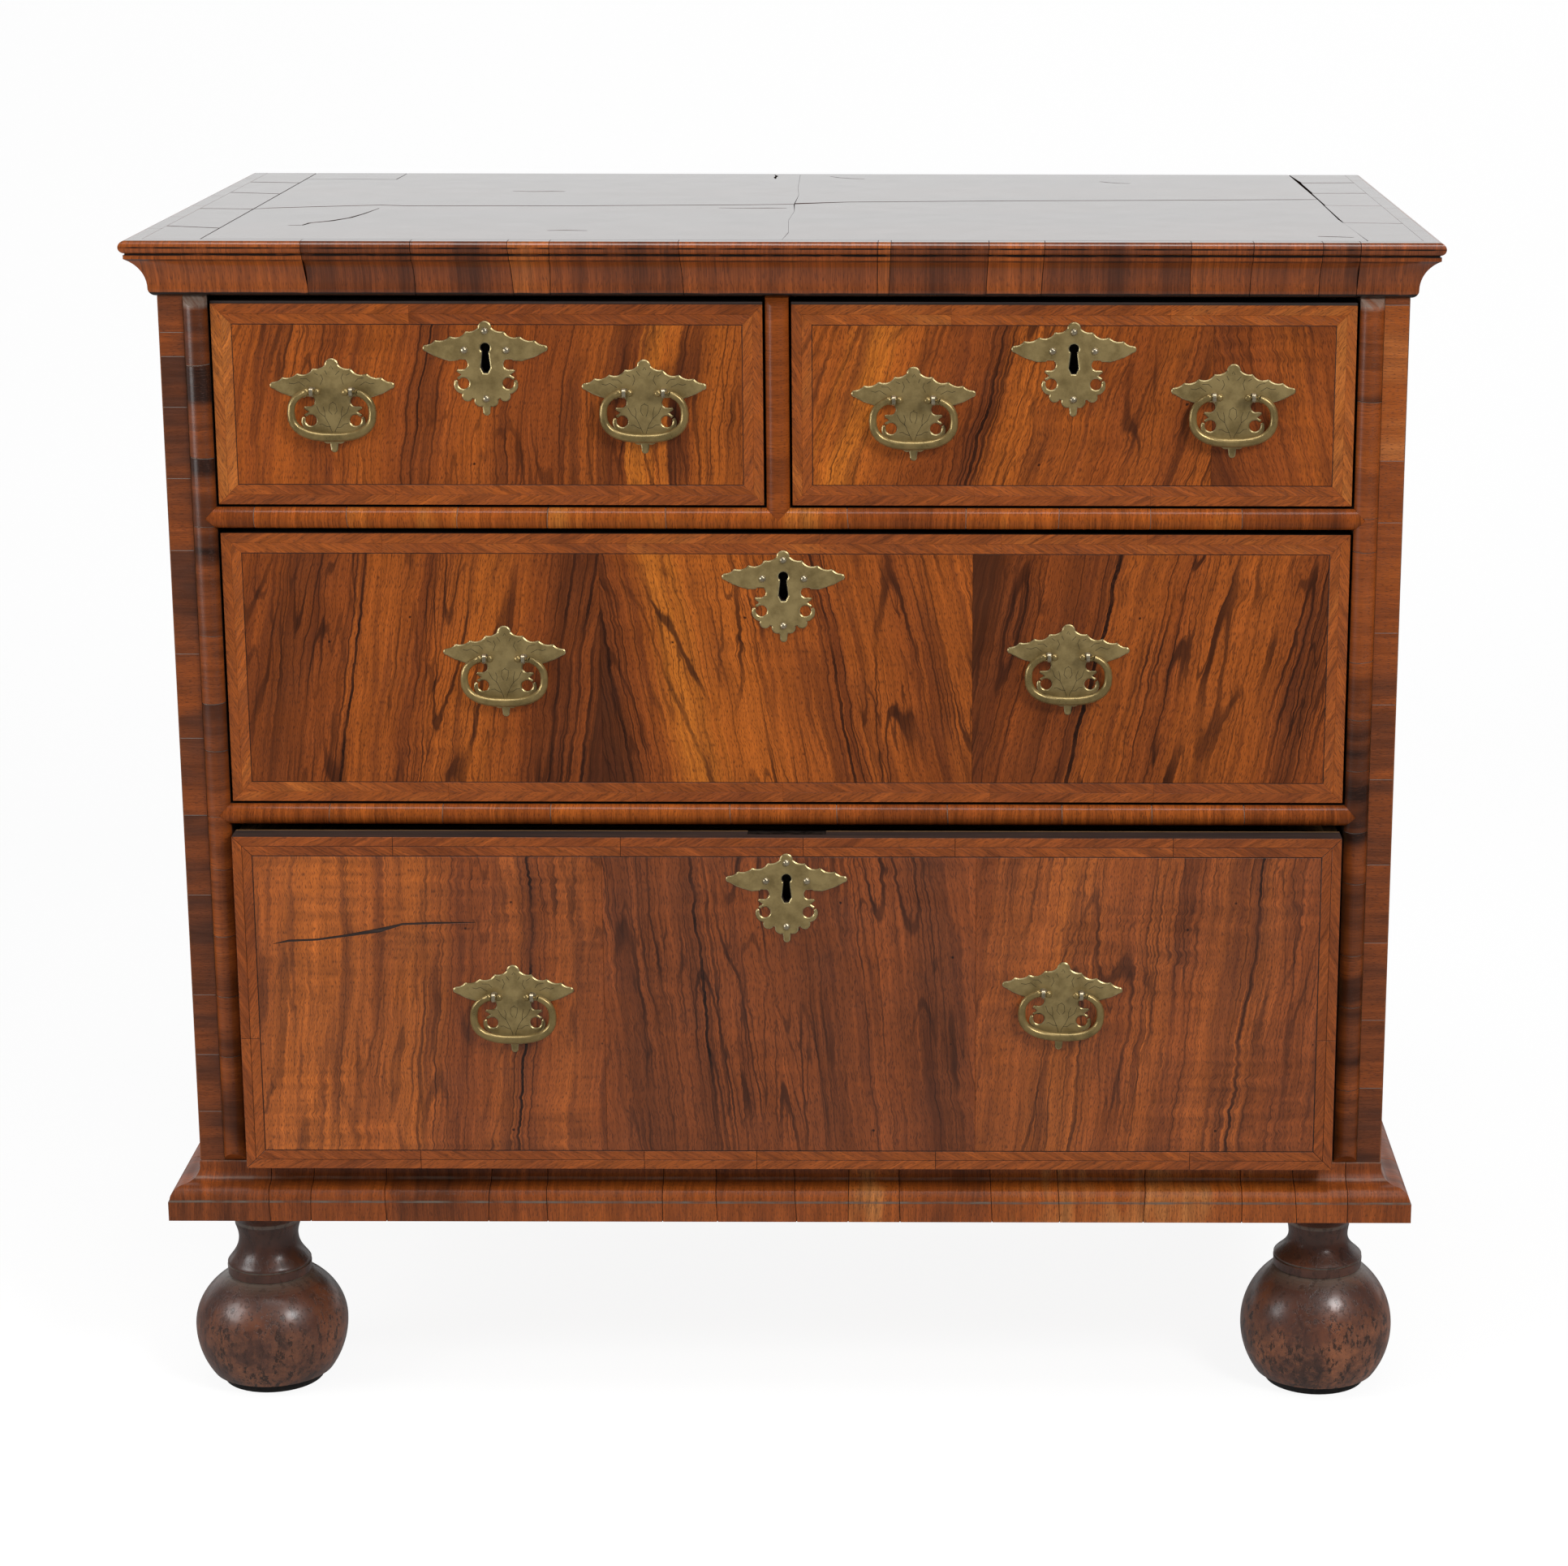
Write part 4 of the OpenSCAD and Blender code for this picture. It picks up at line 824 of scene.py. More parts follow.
def cut_blocks(whole, axis, cuts, tints, seed, s, made):
    """Cuts a moulding across its run into blocks with hairline seams and worn edges."""
    layers(made)
    source = random.Random(seed)
    lean = {mark: math.radians(source.uniform(-4, 4)) for mark in cuts}
    other = 0 if axis == 2 else 2
    centre = sum(f([v.co[other] for v in whole.verts]) for f in (min, max)) / 2

    def seam(mark, side):
        """A point of one side of a seam, and the direction out of the block there."""
        normal, point = Vector(), Vector()
        normal[axis], normal[other] = math.cos(lean[mark]), math.sin(lean[mark])
        point[axis], point[other] = mark * MM, centre
        return point - normal * side * s.gap / 2 * MM, normal * side

    marks = [None, *cuts, None]
    for k, (low, high) in enumerate(zip(marks, marks[1:])):
        part = whole.copy()
        planes = [seam(mark, side) for side, mark in ((-1, low), (1, high)) if mark is not None]
        for point, normal in planes:
            trimmed(part, point, normal)
        if not part.faces:
            part.free()
            continue
        bmesh.ops.recalc_face_normals(part, faces=part.faces)
        rims = [
            e for e in part.edges
            if any(all(abs((v.co - point).dot(normal)) < 1e-6 for v in e.verts) for point, normal in planes)
        ]
        if rims:
            bmesh.ops.bevel(
                part, geom=rims, offset=s.ease * MM, offset_type="OFFSET", segments=1, profile=0.5,
                affect="EDGES", clamp_overlap=True,
            )
        _uv, seed_layer, tint_layer = layers(part)
        value = source.uniform(0, 90)
        for face in part.faces:
            face[seed_layer] = value
            face[tint_layer] = tints[k % len(tints)]
        pour(part, made)
    # Old wax fills each seam a little below the face
    sunk = 0.7
    for mark in cuts:
        part = whole.copy()
        for side in (-1, 1):
            point, normal = seam(mark, side)
            trimmed(part, point, -normal)
        bmesh.ops.recalc_face_normals(part, faces=part.faces)
        part.normal_update()
        inward = {}
        for v in part.verts:
            way = v.normal.copy()
            way[axis] = 0
            inward[v] = way.normalized() * sunk * MM if way.length > 1e-6 else way
        for v, way in inward.items():
            v.co -= way
        for face in part.faces:
            face.material_index = 1
        pour(part, made)
    whole.free()
    return made


class CHEST_OT_mouldings(bpy.types.Operator):
    """Cuts the cornice, base, rail and stile mouldings into their cross-grained blocks"""

    bl_idname = "chest.mouldings"
    bl_label = "Mouldings"

    def execute(self, context):
        s = context.scene.chest_moulding
        # At their heights in the section: dark lines of painted shade in the quirks and of painted shadow
        # along the foot of the cornice, and grey on the ledges, dust and on the base a painted sheen
        cornice = dict(
            # Three dark bands of painted shade in the quirks, then a wide strong one of painted shadow along
            # the foot of the cornice
            wax=[(914.0, 1.2, 1.6), (919.2, 0.8, 1.3), (909.6, 1.0, 0.8), (881.8, 3.0, 6.0)],
            coat=0.8, coat_rough=0.16, rough=(0.26, 0.36), figure=1.5,
        )
        base = dict(
            # Dark bands of painted shade in the two quirks of the base
            wax=[(174.0, 1.1, 0.8), (186.2, 0.8, 0.35)],
            # Grey bands: dust in the lower quirk, and on the two ledges partly dust, partly a painted sheen
            dust=[(174.0, 0.9, 0.55), (200.5, 1.6, 0.45), (187.5, 1.2, 0.3)], figure=1.4,
        )
        rail = dict(coat=0.3, coat_rough=0.1, rough=(0.5, 0.6), shine=0.05, figure=1.6)
        finish = {
            "cornice_front": ("cornice walnut", "#43200e", "#a35e28", 0, cornice),
            "cornice_returns": ("cornice return walnut", "#43200e", "#a35e28", 1, cornice),
            "base_front": ("base walnut", "#4a2512", "#b07840", 0, base),
            "base_returns": ("base return walnut", "#4a2512", "#b07840", 1, base),
            "rail_mouldings": ("rail walnut", "#4a2210", "#b06c2a", 0, rail),
            "stile_mouldings": ("stile walnut", "#2a140a", "#8f4f22", 2, dict(dust=[(878.0, 6.5, 0.6)])),
            "divider": ("divider walnut", "#4a2410", "#9a5524", 2, dict(shine=0.1)),
        }
        for name, (title, dark, light, axis, more) in finish.items():
            finish[name] = plain_walnut(title + ", cross grain", dark, light, axis, **more)
        ledge = plain_walnut("top edge walnut, waxed", *SUN_FADED, 0, **WAXED, figure=0.5, deep=True)
        wax = dull("old wax in the seams", "#1d120c", 0.8)
        grey = dull("dust in the seams of the rails", "#8a8075", 0.9)
        runs = (
            ("cornice_front", 0,
             [-353, -273, -201, -172, -75, 70, 79, 151, 192, 301, 346, 397, 425],
             [0.5, 0.22, 0.24, 0.72, 0.3, 0.34, 0.74, 0.24, 0.6, 0.22, 0.34, 0.26, 0.2, 0.3]),
            ("cornice_returns", 1, [-180, -92, -10, 74, 160, 226], [0.35, 0.2, 0.5, 0.3, 0.22, 0.45, 0.3]),
            ("base_front", 0,
             [-409, -376, -318, -236, -191, -100, -58, 4, 46, 86, 158, 211, 279, 355, 397, 438],
             [0.16, 0.28, 0.36, 0.22, 0.3, 0.46, 0.52, 0.4, 0.5, 0.64, 0.4, 0.7, 0.74, 0.68, 0.62, 0.56,
              0.36]),
            ("base_returns", 1, [-196, -120, -31, 52, 133, 214], [0.3, 0.45, 0.25, 0.5, 0.35, 0.3, 0.4]),
        )
        for name, axis, cuts, tints in runs:
            bm = cut_blocks(merged(name), axis, cuts, tints, name, s, bmesh.new())
            materials, slot = [finish[name], wax], "walnut"
            if name.startswith("cornice"):
                materials, slot = [*materials, ledge], "dark_walnut"
                for face in bm.faces:
                    if face.normal.z > 0.999 and face.material_index == 0:
                        face.material_index = 2
            finish_piece(name + "_blocks", bm, materials, "case", [name], slot, 30)
        # The two rail mouldings share a node, and so do the two stile mouldings: each row gives the axis
        # and place that part them, the axis of their run, then the cuts and tints of the two halves
        pairs = (
            ("rail_mouldings", 2, 600, 0, (
                ([-352, -265, -182, -44, 38, 123, 211, 280, 351],
                 [0.36, 0.5, 0.42, 0.62, 0.48, 0.36, 0.42, 0.6, 0.56, 0.36]),
                ([-400, -330, -247, -179, -90, 47, 136, 206, 275, 344],
                 [0.3, 0.52, 0.66, 0.6, 0.7, 0.66, 0.36, 0.64, 0.56, 0.62, 0.32]))),
            ("stile_mouldings", 0, 0, 2, (
                ([288, 337, 386, 440, 482, 534, 571, 624, 708, 760, 830],
                 [0.2, 0.26, 0.32, 0.3, 0.34, 0.2, 0.08, 0.26, 0.14, 0.16, 0.14, 0.06]),
                ([262, 330, 372, 430, 471, 520, 560, 605, 690, 716, 804],
                 [0.16, 0.18, 0.26, 0.16, 0.14, 0.1, 0.16, 0.28, 0.5, 0.34, 0.36, 0.22]))),
        )
        for name, split_axis, split_at, axis, halves in pairs:
            made = bmesh.new()
            for side, (cuts, tints) in zip((1, -1), halves):
                half = merged(name)
                point, normal = Vector(), Vector()
                point[split_axis], normal[split_axis] = split_at * MM, side
                whole = half.verts[:] + half.edges[:] + half.faces[:]
                bmesh.ops.bisect_plane(half, geom=whole, plane_co=point, plane_no=normal, clear_outer=True)
                cut_blocks(half, axis, cuts, tints, name + str(side), s, made)
            finish_piece(name + "_blocks", made, [finish[name], grey], "case", [name], "walnut", 30)
        upright = merged("divider")
        _uv, seed_layer, tint_layer = layers(upright)
        for face in upright.faces:
            face[seed_layer], face[tint_layer] = 5.0, 0.35
        finish_piece("divider_upright", upright, [finish["divider"]], "case", ["divider"], "walnut", 30)
        return {"FINISHED"}


class CHEST_OT_case_veneers(bpy.types.Operator):
    """Lays the veneers of the case: its front edges, sides and top"""

    bl_idname = "chest.case_veneers"
    bl_label = "Case veneers"

    def execute(self, context):
        s = context.scene.chest_veneer
        edge = plain_walnut("edge walnut, cross grain", "#4a2818", "#a05c2a")
        dust = dull("dust in the seams", "#77706a", 0.9)
        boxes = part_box("side_left"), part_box("side_right")
        bm = bmesh.new()
        source = random.Random("edges")
        # The height at which each block of an edge starts, and its tint
        blocks = (
            [(SIDE_LOW, 0.16), (241, 0.1), (288, 0.18), (337, 0.12), (418, 0.06), (482, 0.2), (543, 0.14),
             (609, 0.08), (689, 0.22), (744, 0.1), (798, 0.0), (836, 0.12), (854, 0.2), (SIDE_HIGH, 0)],
            [(SIDE_LOW, 0.2), (262, 0.24), (318, 0.2), (381, 0.28), (444, 0.24), (512, 0.2), (571, 0.3),
             (627, 0.45), (712, 0.38), (759, 0.8), (876, 0.2), (SIDE_HIGH, 0)],
        )
        for box, marks in zip(boxes, blocks):
            x0, x1 = box[0].x / MM, box[1].x / MM
            place = front_face(box[0].y / MM)
            for (a, tone), (b, _) in zip(marks, marks[1:]):
                loop = box_loop(x0, a, x1, b, 0.2)
                seed = source.uniform(0, 90)
                slab(bm, place, [loop], 0.0, s.lift, s.ease, lambda x, z: (z, x), seed, tone, 0)
            loop = box_loop(x0, SIDE_LOW, x1, SIDE_HIGH, 0.6)
            slab(bm, place, [loop], 0.0, s.lift * 0.6, 0.05, lambda x, z: (x, z), 0.0, 0.5, 1)
        finish_piece("case_edges", bm, [edge, dust], "case", slot="dark_walnut")
        self.sides(s, boxes)
        self.top(s)
        return {"FINISHED"}

    def sides(self, s, boxes):
        """Two wide leaves on each side of the case, inside a plain cross-grained border."""
        tones = [(0, "russet"), (40, "brown"), (80, "orange"), (120, "russet"), (150, "brown")]
        tones += [(190, "orange"), (230, "russet")]
        veins = [(42, 1.8, 0.7), (104, 1.0, 0.5), (152, 2.0, 0.8), (198, 0.9, 0.5)]
        reach, edge = 231, 32.0
        wood = figured_walnut("side walnut, wide leaves", reach, tones, veins, 0.5, 0.7, 10)
        border = plain_walnut("side walnut, cross-grained border", "#4a2615", "#a8652c")
        source = random.Random("sides")
        for side, name, box in ((-1, "side_left", boxes[0]), (1, "side_right", boxes[1])):
            x = box[side > 0].x / MM

            def place(p, q, d, x=x, side=side):
                return ((x + side * d) * MM, p * side * MM, q * MM)

            bm = bmesh.new()
            low, high = sorted((box[0].y / MM * side, box[1].y / MM * side))
            middle = (low + edge + (high - edge)) / 2

            def grain(p, q, middle=middle):
                return reach - abs(p - middle), q

            for a, b in ((low + edge, middle), (middle, high - edge)):
                loop = box_loop(a, SIDE_LOW + edge, b, SIDE_HIGH - edge, s.gap / 2)
                slab(bm, place, [loop], 0.0, s.lift, s.ease, grain, 51.0 + side, 0.5, 0)
            # Each strip of the border: its ends, a place from its run and depth, and its grain
            strips = (
                (low, high, lambda u, t: (u, SIDE_LOW + t), lambda p, q: (p, q)),
                (SIDE_LOW, SIDE_HIGH, lambda u, t: (high - t, u), lambda p, q: (q, p)),
                (low, high, lambda u, t: (u, SIDE_HIGH - t), lambda p, q: (p, q)),
                (SIDE_LOW, SIDE_HIGH, lambda u, t: (low + t, u), lambda p, q: (q, p)),
            )
            for a, b, at, run in strips:
                cuts = cuts_between(a, b, 95, source, 0.2)
                for c, d in zip(cuts, cuts[1:]):
                    near, far = c + edge * (c == a), d - edge * (d == b)
                    loop = [at(c, 0), at(d, 0), at(far, edge), at(near, edge)]
                    loop = inset(loop if area(loop) > 0 else loop[::-1], s.gap / 2)
                    seed, tint = source.uniform(0, 90), source.uniform(0.2, 0.6)
                    slab(bm, place, [loop], 0.0, s.lift, s.ease, run, seed, tint, 1)
            finish_piece(name + "_veneer", bm, [wood, border], "case", slot="walnut")

    def top(self, s):
        """The top: a core, long leaves between two cross-grained ends, their seams and cracks."""
        low, high = (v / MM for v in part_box("top_board"))
        tones = [(0, "#45250f"), (60, "#4f2c15"), (120, "#402210"), (190, "#381c0e"), (230, "#4a2913")]
        tones += [(290, "#3c200f"), (370, "#4f2c15"), (430, "#402210"), (540, "#381c0e")]
        veins = [(90, 1.2, 0.5), (230, 1.6, 0.6), (350, 1.2, 0.5), (460, 1.6, 0.6)]
        wood = figured_walnut("top walnut, sun-faded and waxed", 540, tones, veins, 0.1, 0.6, 12, **WAXED)
        ends = plain_walnut("top walnut, cross-grained ends", *SUN_FADED, **WAXED, figure=0.5, deep=True)
        core = dull("dirt in the joints of the top", "#120b07", 0.9, Specular_IOR_Level=0.0)
        bm = bmesh.new()
        source = random.Random("top")

        def place(p, q, d):
            return (p * MM, q * MM, (high.z + d) * MM)

        left, right, mid = -430.0, 427.0, -1.0
        seam_left = [
            (left, -33), (-417, -25), (-380, -13), (-334, 0), (-312, -5), (-178, -3), (-37, 8), (mid, 13)
        ]
        seam_right = [(mid, 20), (42, 32), (171, 44), (281, 50), (408, 59), (right, 60)]
        joint = [(mid, low.y), (2, -200), (-1, -110), (1, -40), (mid, 13)]
        beyond = [(mid, 20), (0, 90), (-3, 160), (-5, high.y)]
        # A joint along the top is seen so low that it has to gape to be seen at all
        gape, part = 0.8, 0.3
        near, far = (
            [[(x, y + by) for x, y in seam] for seam in (seam_left, seam_right)] for by in (-gape, gape)
        )
        patch = [(-350, high.y), (-352, 222), (-390, 224), (left, 222)]
        # Each leaf's outline, with the cracks in it
        leaves = (
            ([(left, low.y)] + [(x + part, y) for x, y in joint[:-1]] + [(mid, 12)] + near[0][-2::-1],
             [[(-381, -157), (-371, -155), (-368, -139), (-354, -123), (-343, -99), (-337, -69), (-331, -26)],
              [(-60, -18), (-42, -20), (-20, -18), (-6, -19)], [(-180, -190), (-166, -188), (-150, -191)]]),
            (far[0][:-1] + [(mid, 14)] + [(x + part, y) for x, y in beyond[1:]] + patch,
             [[(-27, 272), (-25, 262), (-26, 250), (-25, 234)],
              [(-240, 120), (-225, 116), (-208, 118), (-196, 117)]]),
            (patch[::-1] + [(left, high.y)], []),
            ([(432, low.y), (429, -140), (right, -100)] + near[1][:0:-1] + [(mid, 14)]
             + [(x - part, y) for x, y in joint[-2::-1]],
             [[(398, -221), (406, -223), (415, -225), (424, -228)]]),
            (far[1] + [(424, high.y)] + [(x - part, y) for x, y in beyond[:0:-1]],
             [[(22, 258), (30, 246), (41, 238), (52, 235)],
              [(255, 214), (262, 206), (270, 200), (280, 197)]]),
        )
        for leaf, splits in leaves:
            loops = [inset(leaf, 0.4)] + [crack(k, 0.4 * len(k) + 0.8, source) for k in splits]
            seed = source.uniform(0, 90)
            slab(bm, place, loops, -s.lift, 0.0, 0.2, lambda x, y: (y - low.y, x), seed, 0.5, 1, chamfer=0.6)
        # The blocks of the two ends, from the front: where each seam meets the inner and the outer edge
        front, back = (low.y, low.y), (high.y, high.y)
        left_marks = [front, (-162, -177), (-30, -33), (103, 92), (196, 190), back]
        right_marks = [front, (-122, -128), (12, 8), (113, 114), (205, 208), back]
        for marks in (left_marks, right_marks):
            for (a, b), (c, d) in zip(marks, marks[1:]):
                ahead, behind = 0.9 * (a > low.y), 0.9 * (c < high.y)
                a, b, c, d = a + ahead, b + ahead, c - behind, d - behind
                if marks is left_marks:
                    loop = [(low.x - 0.4, a), (left, b), (left, d), (low.x - 0.4, c)]
                else:
                    # The first seam leans, so the front block is wider at the back
                    first, last = 0.8 if ahead else 5, 0 if behind else -3
                    loop = [(right + first, a), (high.x + 0.4, b), (high.x + 0.4, d), (right + last, c)]
                seed, tint = source.uniform(0, 90), source.uniform(0.3, 0.6)
                slab(
                    bm, place, [inset(loop, 0.4)], -s.lift, 0.0, 0.2, lambda x, y: (y, x), seed, tint, 2,
                    chamfer=0.4,
                )
        board = box_loop(low.x, low.y, high.x, high.y)
        slab(bm, place, [board], low.z - high.z, -s.lift, 0.05, lambda x, y: (x, y), 0.0, 0.5, 0)
        bm.normal_update()
        for face in bm.faces:
            if face.material_index == 0 and face.normal.z < 0.5:
                face.material_index = 3
        pine = rough_board("pine core of the top", "#5b3c24", "#8a6238", 0)
        finish_piece("top_panel", bm, [core, wood, ends, pine], "case", ["top_board"], "walnut", 5)


def islands(bm):
    """The separate solids of a bmesh, as lists of faces."""
    left, found = set(bm.faces), []
    for first in bm.faces:
        if first not in left:
            continue
        left.discard(first)
        group = [first]
        for face in group:
            for edge in face.edges:
                for other in edge.link_faces:
                    if other in left:
                        left.discard(other)
                        group.append(other)
        found.append(group)
    return found


def outlines(faces):
    """The closed outlines, in millimetres of x and z, of a flat group of faces, the longest first."""
    inside = set(faces)
    onward = {}
    for face in faces:
        for corner in face.loops:
            if sum(f in inside for f in corner.edge.link_faces) == 1:
                onward[corner.vert] = corner.link_loop_next.vert
    loops = []
    while onward:
        start = next(iter(onward))
        v = onward.pop(start)
        loop = [start]
        while v is not start:
            loop.append(v)
            v = onward.pop(v)
        loops.append([(p.co.x / MM, p.co.z / MM) for p in loop])
    return sorted(loops, key=lambda p: -abs(area(p)))


def engraving_strokes():
    """Strokes of a plain leaf spray cut into a handle plate, about the middle of its wing tips."""
    strokes = []
    for side in (-1, 1):
        m = lambda pts: strokes.append([(side * x, z) for x, z in pts])
        m([(0.6, -40), (1.4, -34), (3.4, -29), (6.6, -24), (10.0, -20.5), (12.4, -15.5)])
        m([(2.4, -31), (5.2, -31), (8.4, -29.2), (11, -28.8)])
        m([(6.6, -24), (6.4, -19.5), (7.6, -15.5)])
        m([(1.2, -22), (2.8, -18.5), (2.4, -14), (-0.2, -12.6)])
        m([(8.5, 1.2), (7.2, 5.4), (8.6, 8.8)])
        m([(16.5, 2.5), (19.4, 5.2), (23.8, 5.4)])
        m([(20.5, -0.4), (25, 2.4), (28.4, 1.2), (31.6, 2.2)])
        m([(10.5, 7.8), (13.2, 9.4)])
        m([(3.2, 8.4), (5.4, 11.4)])
        m([(12, -38.5), (9.2, -41), (6.2, -41.8)])
    strokes.append([(-1.2, 12.5), (0, 14.8), (1.2, 12.5)])
    return strokes


def growing_tree(name, sockets):
    """An empty geometry node tree with its group input, and the keys of its sockets."""
    tree = bpy.data.node_groups.new(name, "GeometryNodeTree")
    face = tree.interface
    face.new_socket(name="Geometry", in_out="INPUT", socket_type="NodeSocketGeometry")
    keys = [
        face.new_socket(name=title, in_out="INPUT", socket_type="NodeSocket" + kind).identifier
        for title, kind in sockets
    ]
    face.new_socket(name="Geometry", in_out="OUTPUT", socket_type="NodeSocketGeometry")
    return tree, tree.nodes.new("NodeGroupInput").outputs, keys


def finished(tree, enter, geometry):
    """Ends a geometry node tree with real meshes in the finish that it is given."""
    real = node(tree, "GeometryNodeRealizeInstances", {0: geometry})
    dressed = node(tree, "GeometryNodeSetMaterial", {"Geometry": real, "Material": enter["Finish"]})
    node(tree, "NodeGroupOutput", {0: dressed})


def stroke_tree():
    """A node tree that lays a thin flat strip along each curve it is given."""
    tree, enter, keys = growing_tree("engraved stroke", [("Width", "Float"), ("Finish", "Material")])
    size = {"Width": 0.00004, "Height": enter["Width"]}
    section = node(tree, "GeometryNodeCurvePrimitiveQuadrilateral", size)
    path = {0: enter["Geometry"], 1: section, "Fill Caps": True}
    finished(tree, enter, node(tree, "GeometryNodeCurveToMesh", path))
    return tree, keys


def pin_tree():
    """A node tree that sets a low domed pin, facing -Y, on each point it is given."""
    sockets = [("Radius", "Float"), ("Rise", "Vector"), ("Facets", "Int"), ("Finish", "Material")]
    tree, enter, keys = growing_tree("domed pins", sockets)
    size = {"Segments": enter["Facets"], "Rings": 10, "Radius": enter["Radius"]}
    dome = node(tree, "GeometryNodeMeshUVSphere", size)
    dome = node(tree, "GeometryNodeTransform", {"Geometry": dome, "Scale": enter["Rise"]})
    spots = {"Points": enter["Geometry"], "Instance": dome}
    finished(tree, enter, node(tree, "GeometryNodeInstanceOnPoints", spots))
    return tree, keys


def grown(name, data, tree, values):
    """The mesh that a node tree makes of a curve or of loose points."""
    seedling = bpy.data.objects.new(name, data)
    bpy.context.scene.collection.objects.link(seedling)
    grow = seedling.modifiers.new("grow", "NODES")
    grow.node_group = tree
    for key, value in values.items():
        grow[key] = value
    seedling.update_tag()
    bpy.context.view_layer.update()
    mesh = bpy.data.meshes.new_from_object(seedling.evaluated_get(bpy.context.evaluated_depsgraph_get()))
    bpy.data.objects.remove(seedling)
    return mesh


def drawn_in(loop, by):
    """A closed outline moved inward by a distance, whichever way round it runs."""
    return inset(loop, math.copysign(by, area(loop)))


class CHEST_OT_brasses(bpy.types.Operator):
    """Files the chamfers of the plates, engraves them, and sets the pins, posts and bails"""

    bl_idname = "chest.brasses"
    bl_label = "Brasses"

    def execute(self, context):
        s = context.scene.chest_brass
        plate = metal("old cast brass, lacquered dull", "#7f6c42", "#9f8a5a", (0.32, 0.44), 70.0, 0.5)
        edge = metal("rubbed edges of the brass plates", "#857349", "#b5a578", (0.3, 0.42), 160.0, 0.7)
        post = metal("rubbed brass of posts and pins", "#8c8068", "#bdb196", (0.22, 0.34), 160.0, 0.8)
        bail = metal("handled brass of the bails", "#78673f", "#957f50", (0.26, 0.36), 80.0, 0.6)
        cut = metal("tarnish in the engraved lines", "#2c2414", "#40351f", (0.6, 0.7), 300.0, 0.4)
        wax = dull("black wax round the brasses", "#120905", 0.6)
        finishes = [plate, post, cut, wax, edge]
        strokes = stroke_tree()
        for name in DRAWERS:
            body = name + "_drawer"
            for kind in ("escutcheon", "handle_plates"):
                whole = merged(f"{name}_{kind}")
                bm = bmesh.new()
                layers(bm)
                centres = []
                for group in islands(whole):
                    points = [v.co for f in group for v in f.verts]
                    if max(p.x for p in points) - min(p.x for p in points) > 0.05:
                        centres.append(self.plate(bm, group, kind == "escutcheon", s.chamfer))
                    else:
                        for f in group:
                            f.material_index = 1
                # Posts and pin shanks keep the CAD shape
                flat = [f for f in whole.faces if f.material_index != 1]
                bmesh.ops.delete(whole, geom=flat, context="FACES")
                pour(whole, bm)
                if kind == "handle_plates":
                    bm.from_mesh(self.engraved(centres, *strokes, cut, s))
                finish_piece(f"{name}_{kind}_brass", bm, finishes, body, [f"{name}_{kind}"], "brass", 28)
            for side in ("left", "right"):
                bm = merged(f"{name}_bail_{side}")
                bm.normal_update()
                for v in bm.verts:
                    v.co += Vector((v.normal.x, v.normal.y * 0.4, v.normal.z)) * 0.00045
                handle = f"{name}_bail_{side}"
                finish_piece(handle + "_brass", bm, [bail], handle + "_body", [handle], "brass", 40)
        self.nails(*pin_tree())
        return {"FINISHED"}

    def plate(self, bm, group, keyed, chamfer):
        """A plate with filed edges over black wax that shows as a dark border in its holes, dirt and painted
        shade; gives its middle, turn and front.
        """
        front = min(v.co.y for f in group for v in f.verts)
        flat = [f for f in group if f.normal.y < -0.999 and abs(f.calc_center_median().y - front) < 2e-5]
        loops = outlines(flat)
        place = front_face((front + 0.0015) / MM)
        rim, holes = self.rim(loops[0]), [p for p in loops[1:] if abs(area(p)) > 20]
        keyholes = sorted(holes, key=lambda p: -abs(area(p)))[:keyed]
        # The scrolls are cast thicker than a plate sawn to the outline would leave them, so the holes shrink
        holes = [p if p in keyholes else drawn_in(p, 0.9) for p in holes]
        outline = [dense(p, 0.5) for p in [rim] + holes]
        slab(bm, place, outline, 0.0, 1.5, 0.55, lambda x, z: (x, z), 0.0, 0.5, 0, chamfer, 4)
        # The black slab under the plate shows only as a dark border in its holes: wax dirt and painted shade
        # of the piercings
        waxed = [drawn_in(rim, 1.4)] + [drawn_in(p, 0.4) for p in holes]
        slab(bm, place, waxed, 0.0, 0.58, 0.04, lambda x, z: (x, z), 0.0, 0.5, 3)
        tips = sorted(loops[0])
        a, b = Vector(tips[0]), Vector(tips[-1])
        return (a + b) / 2, math.atan2(b.y - a.y, b.x - a.x), front

    def rim(self, loop):
        """A plate's outline with shallow lobes along the lower edges of its wings."""
        if area(loop) < 0:
            loop = loop[::-1]
        loop = dense(loop, 0.5)
        tips = sorted(loop)
        middle, level = (tips[0][0] + tips[-1][0]) / 2, (tips[0][1] + tips[-1][1]) / 2
        moved = []
        for k, (x, z) in enumerate(loop):
            (px, pz), (nx, nz) = loop[k - 1], loop[(k + 1) % len(loop)]
            length = math.hypot(nx - px, nz - pz) or 1
            out_x, out_z = (nz - pz) / length, (px - nx) / length
            off = abs(x - middle)
            if out_z < -0.5 and 10 < off < 27 and z > level - 9:
                swell = 0.75 * abs(math.sin(math.pi * (off - 10) / 4.8)) - 0.25
                x, z = x + out_x * swell, z + out_z * swell
            moved.append((x, z))
        return moved

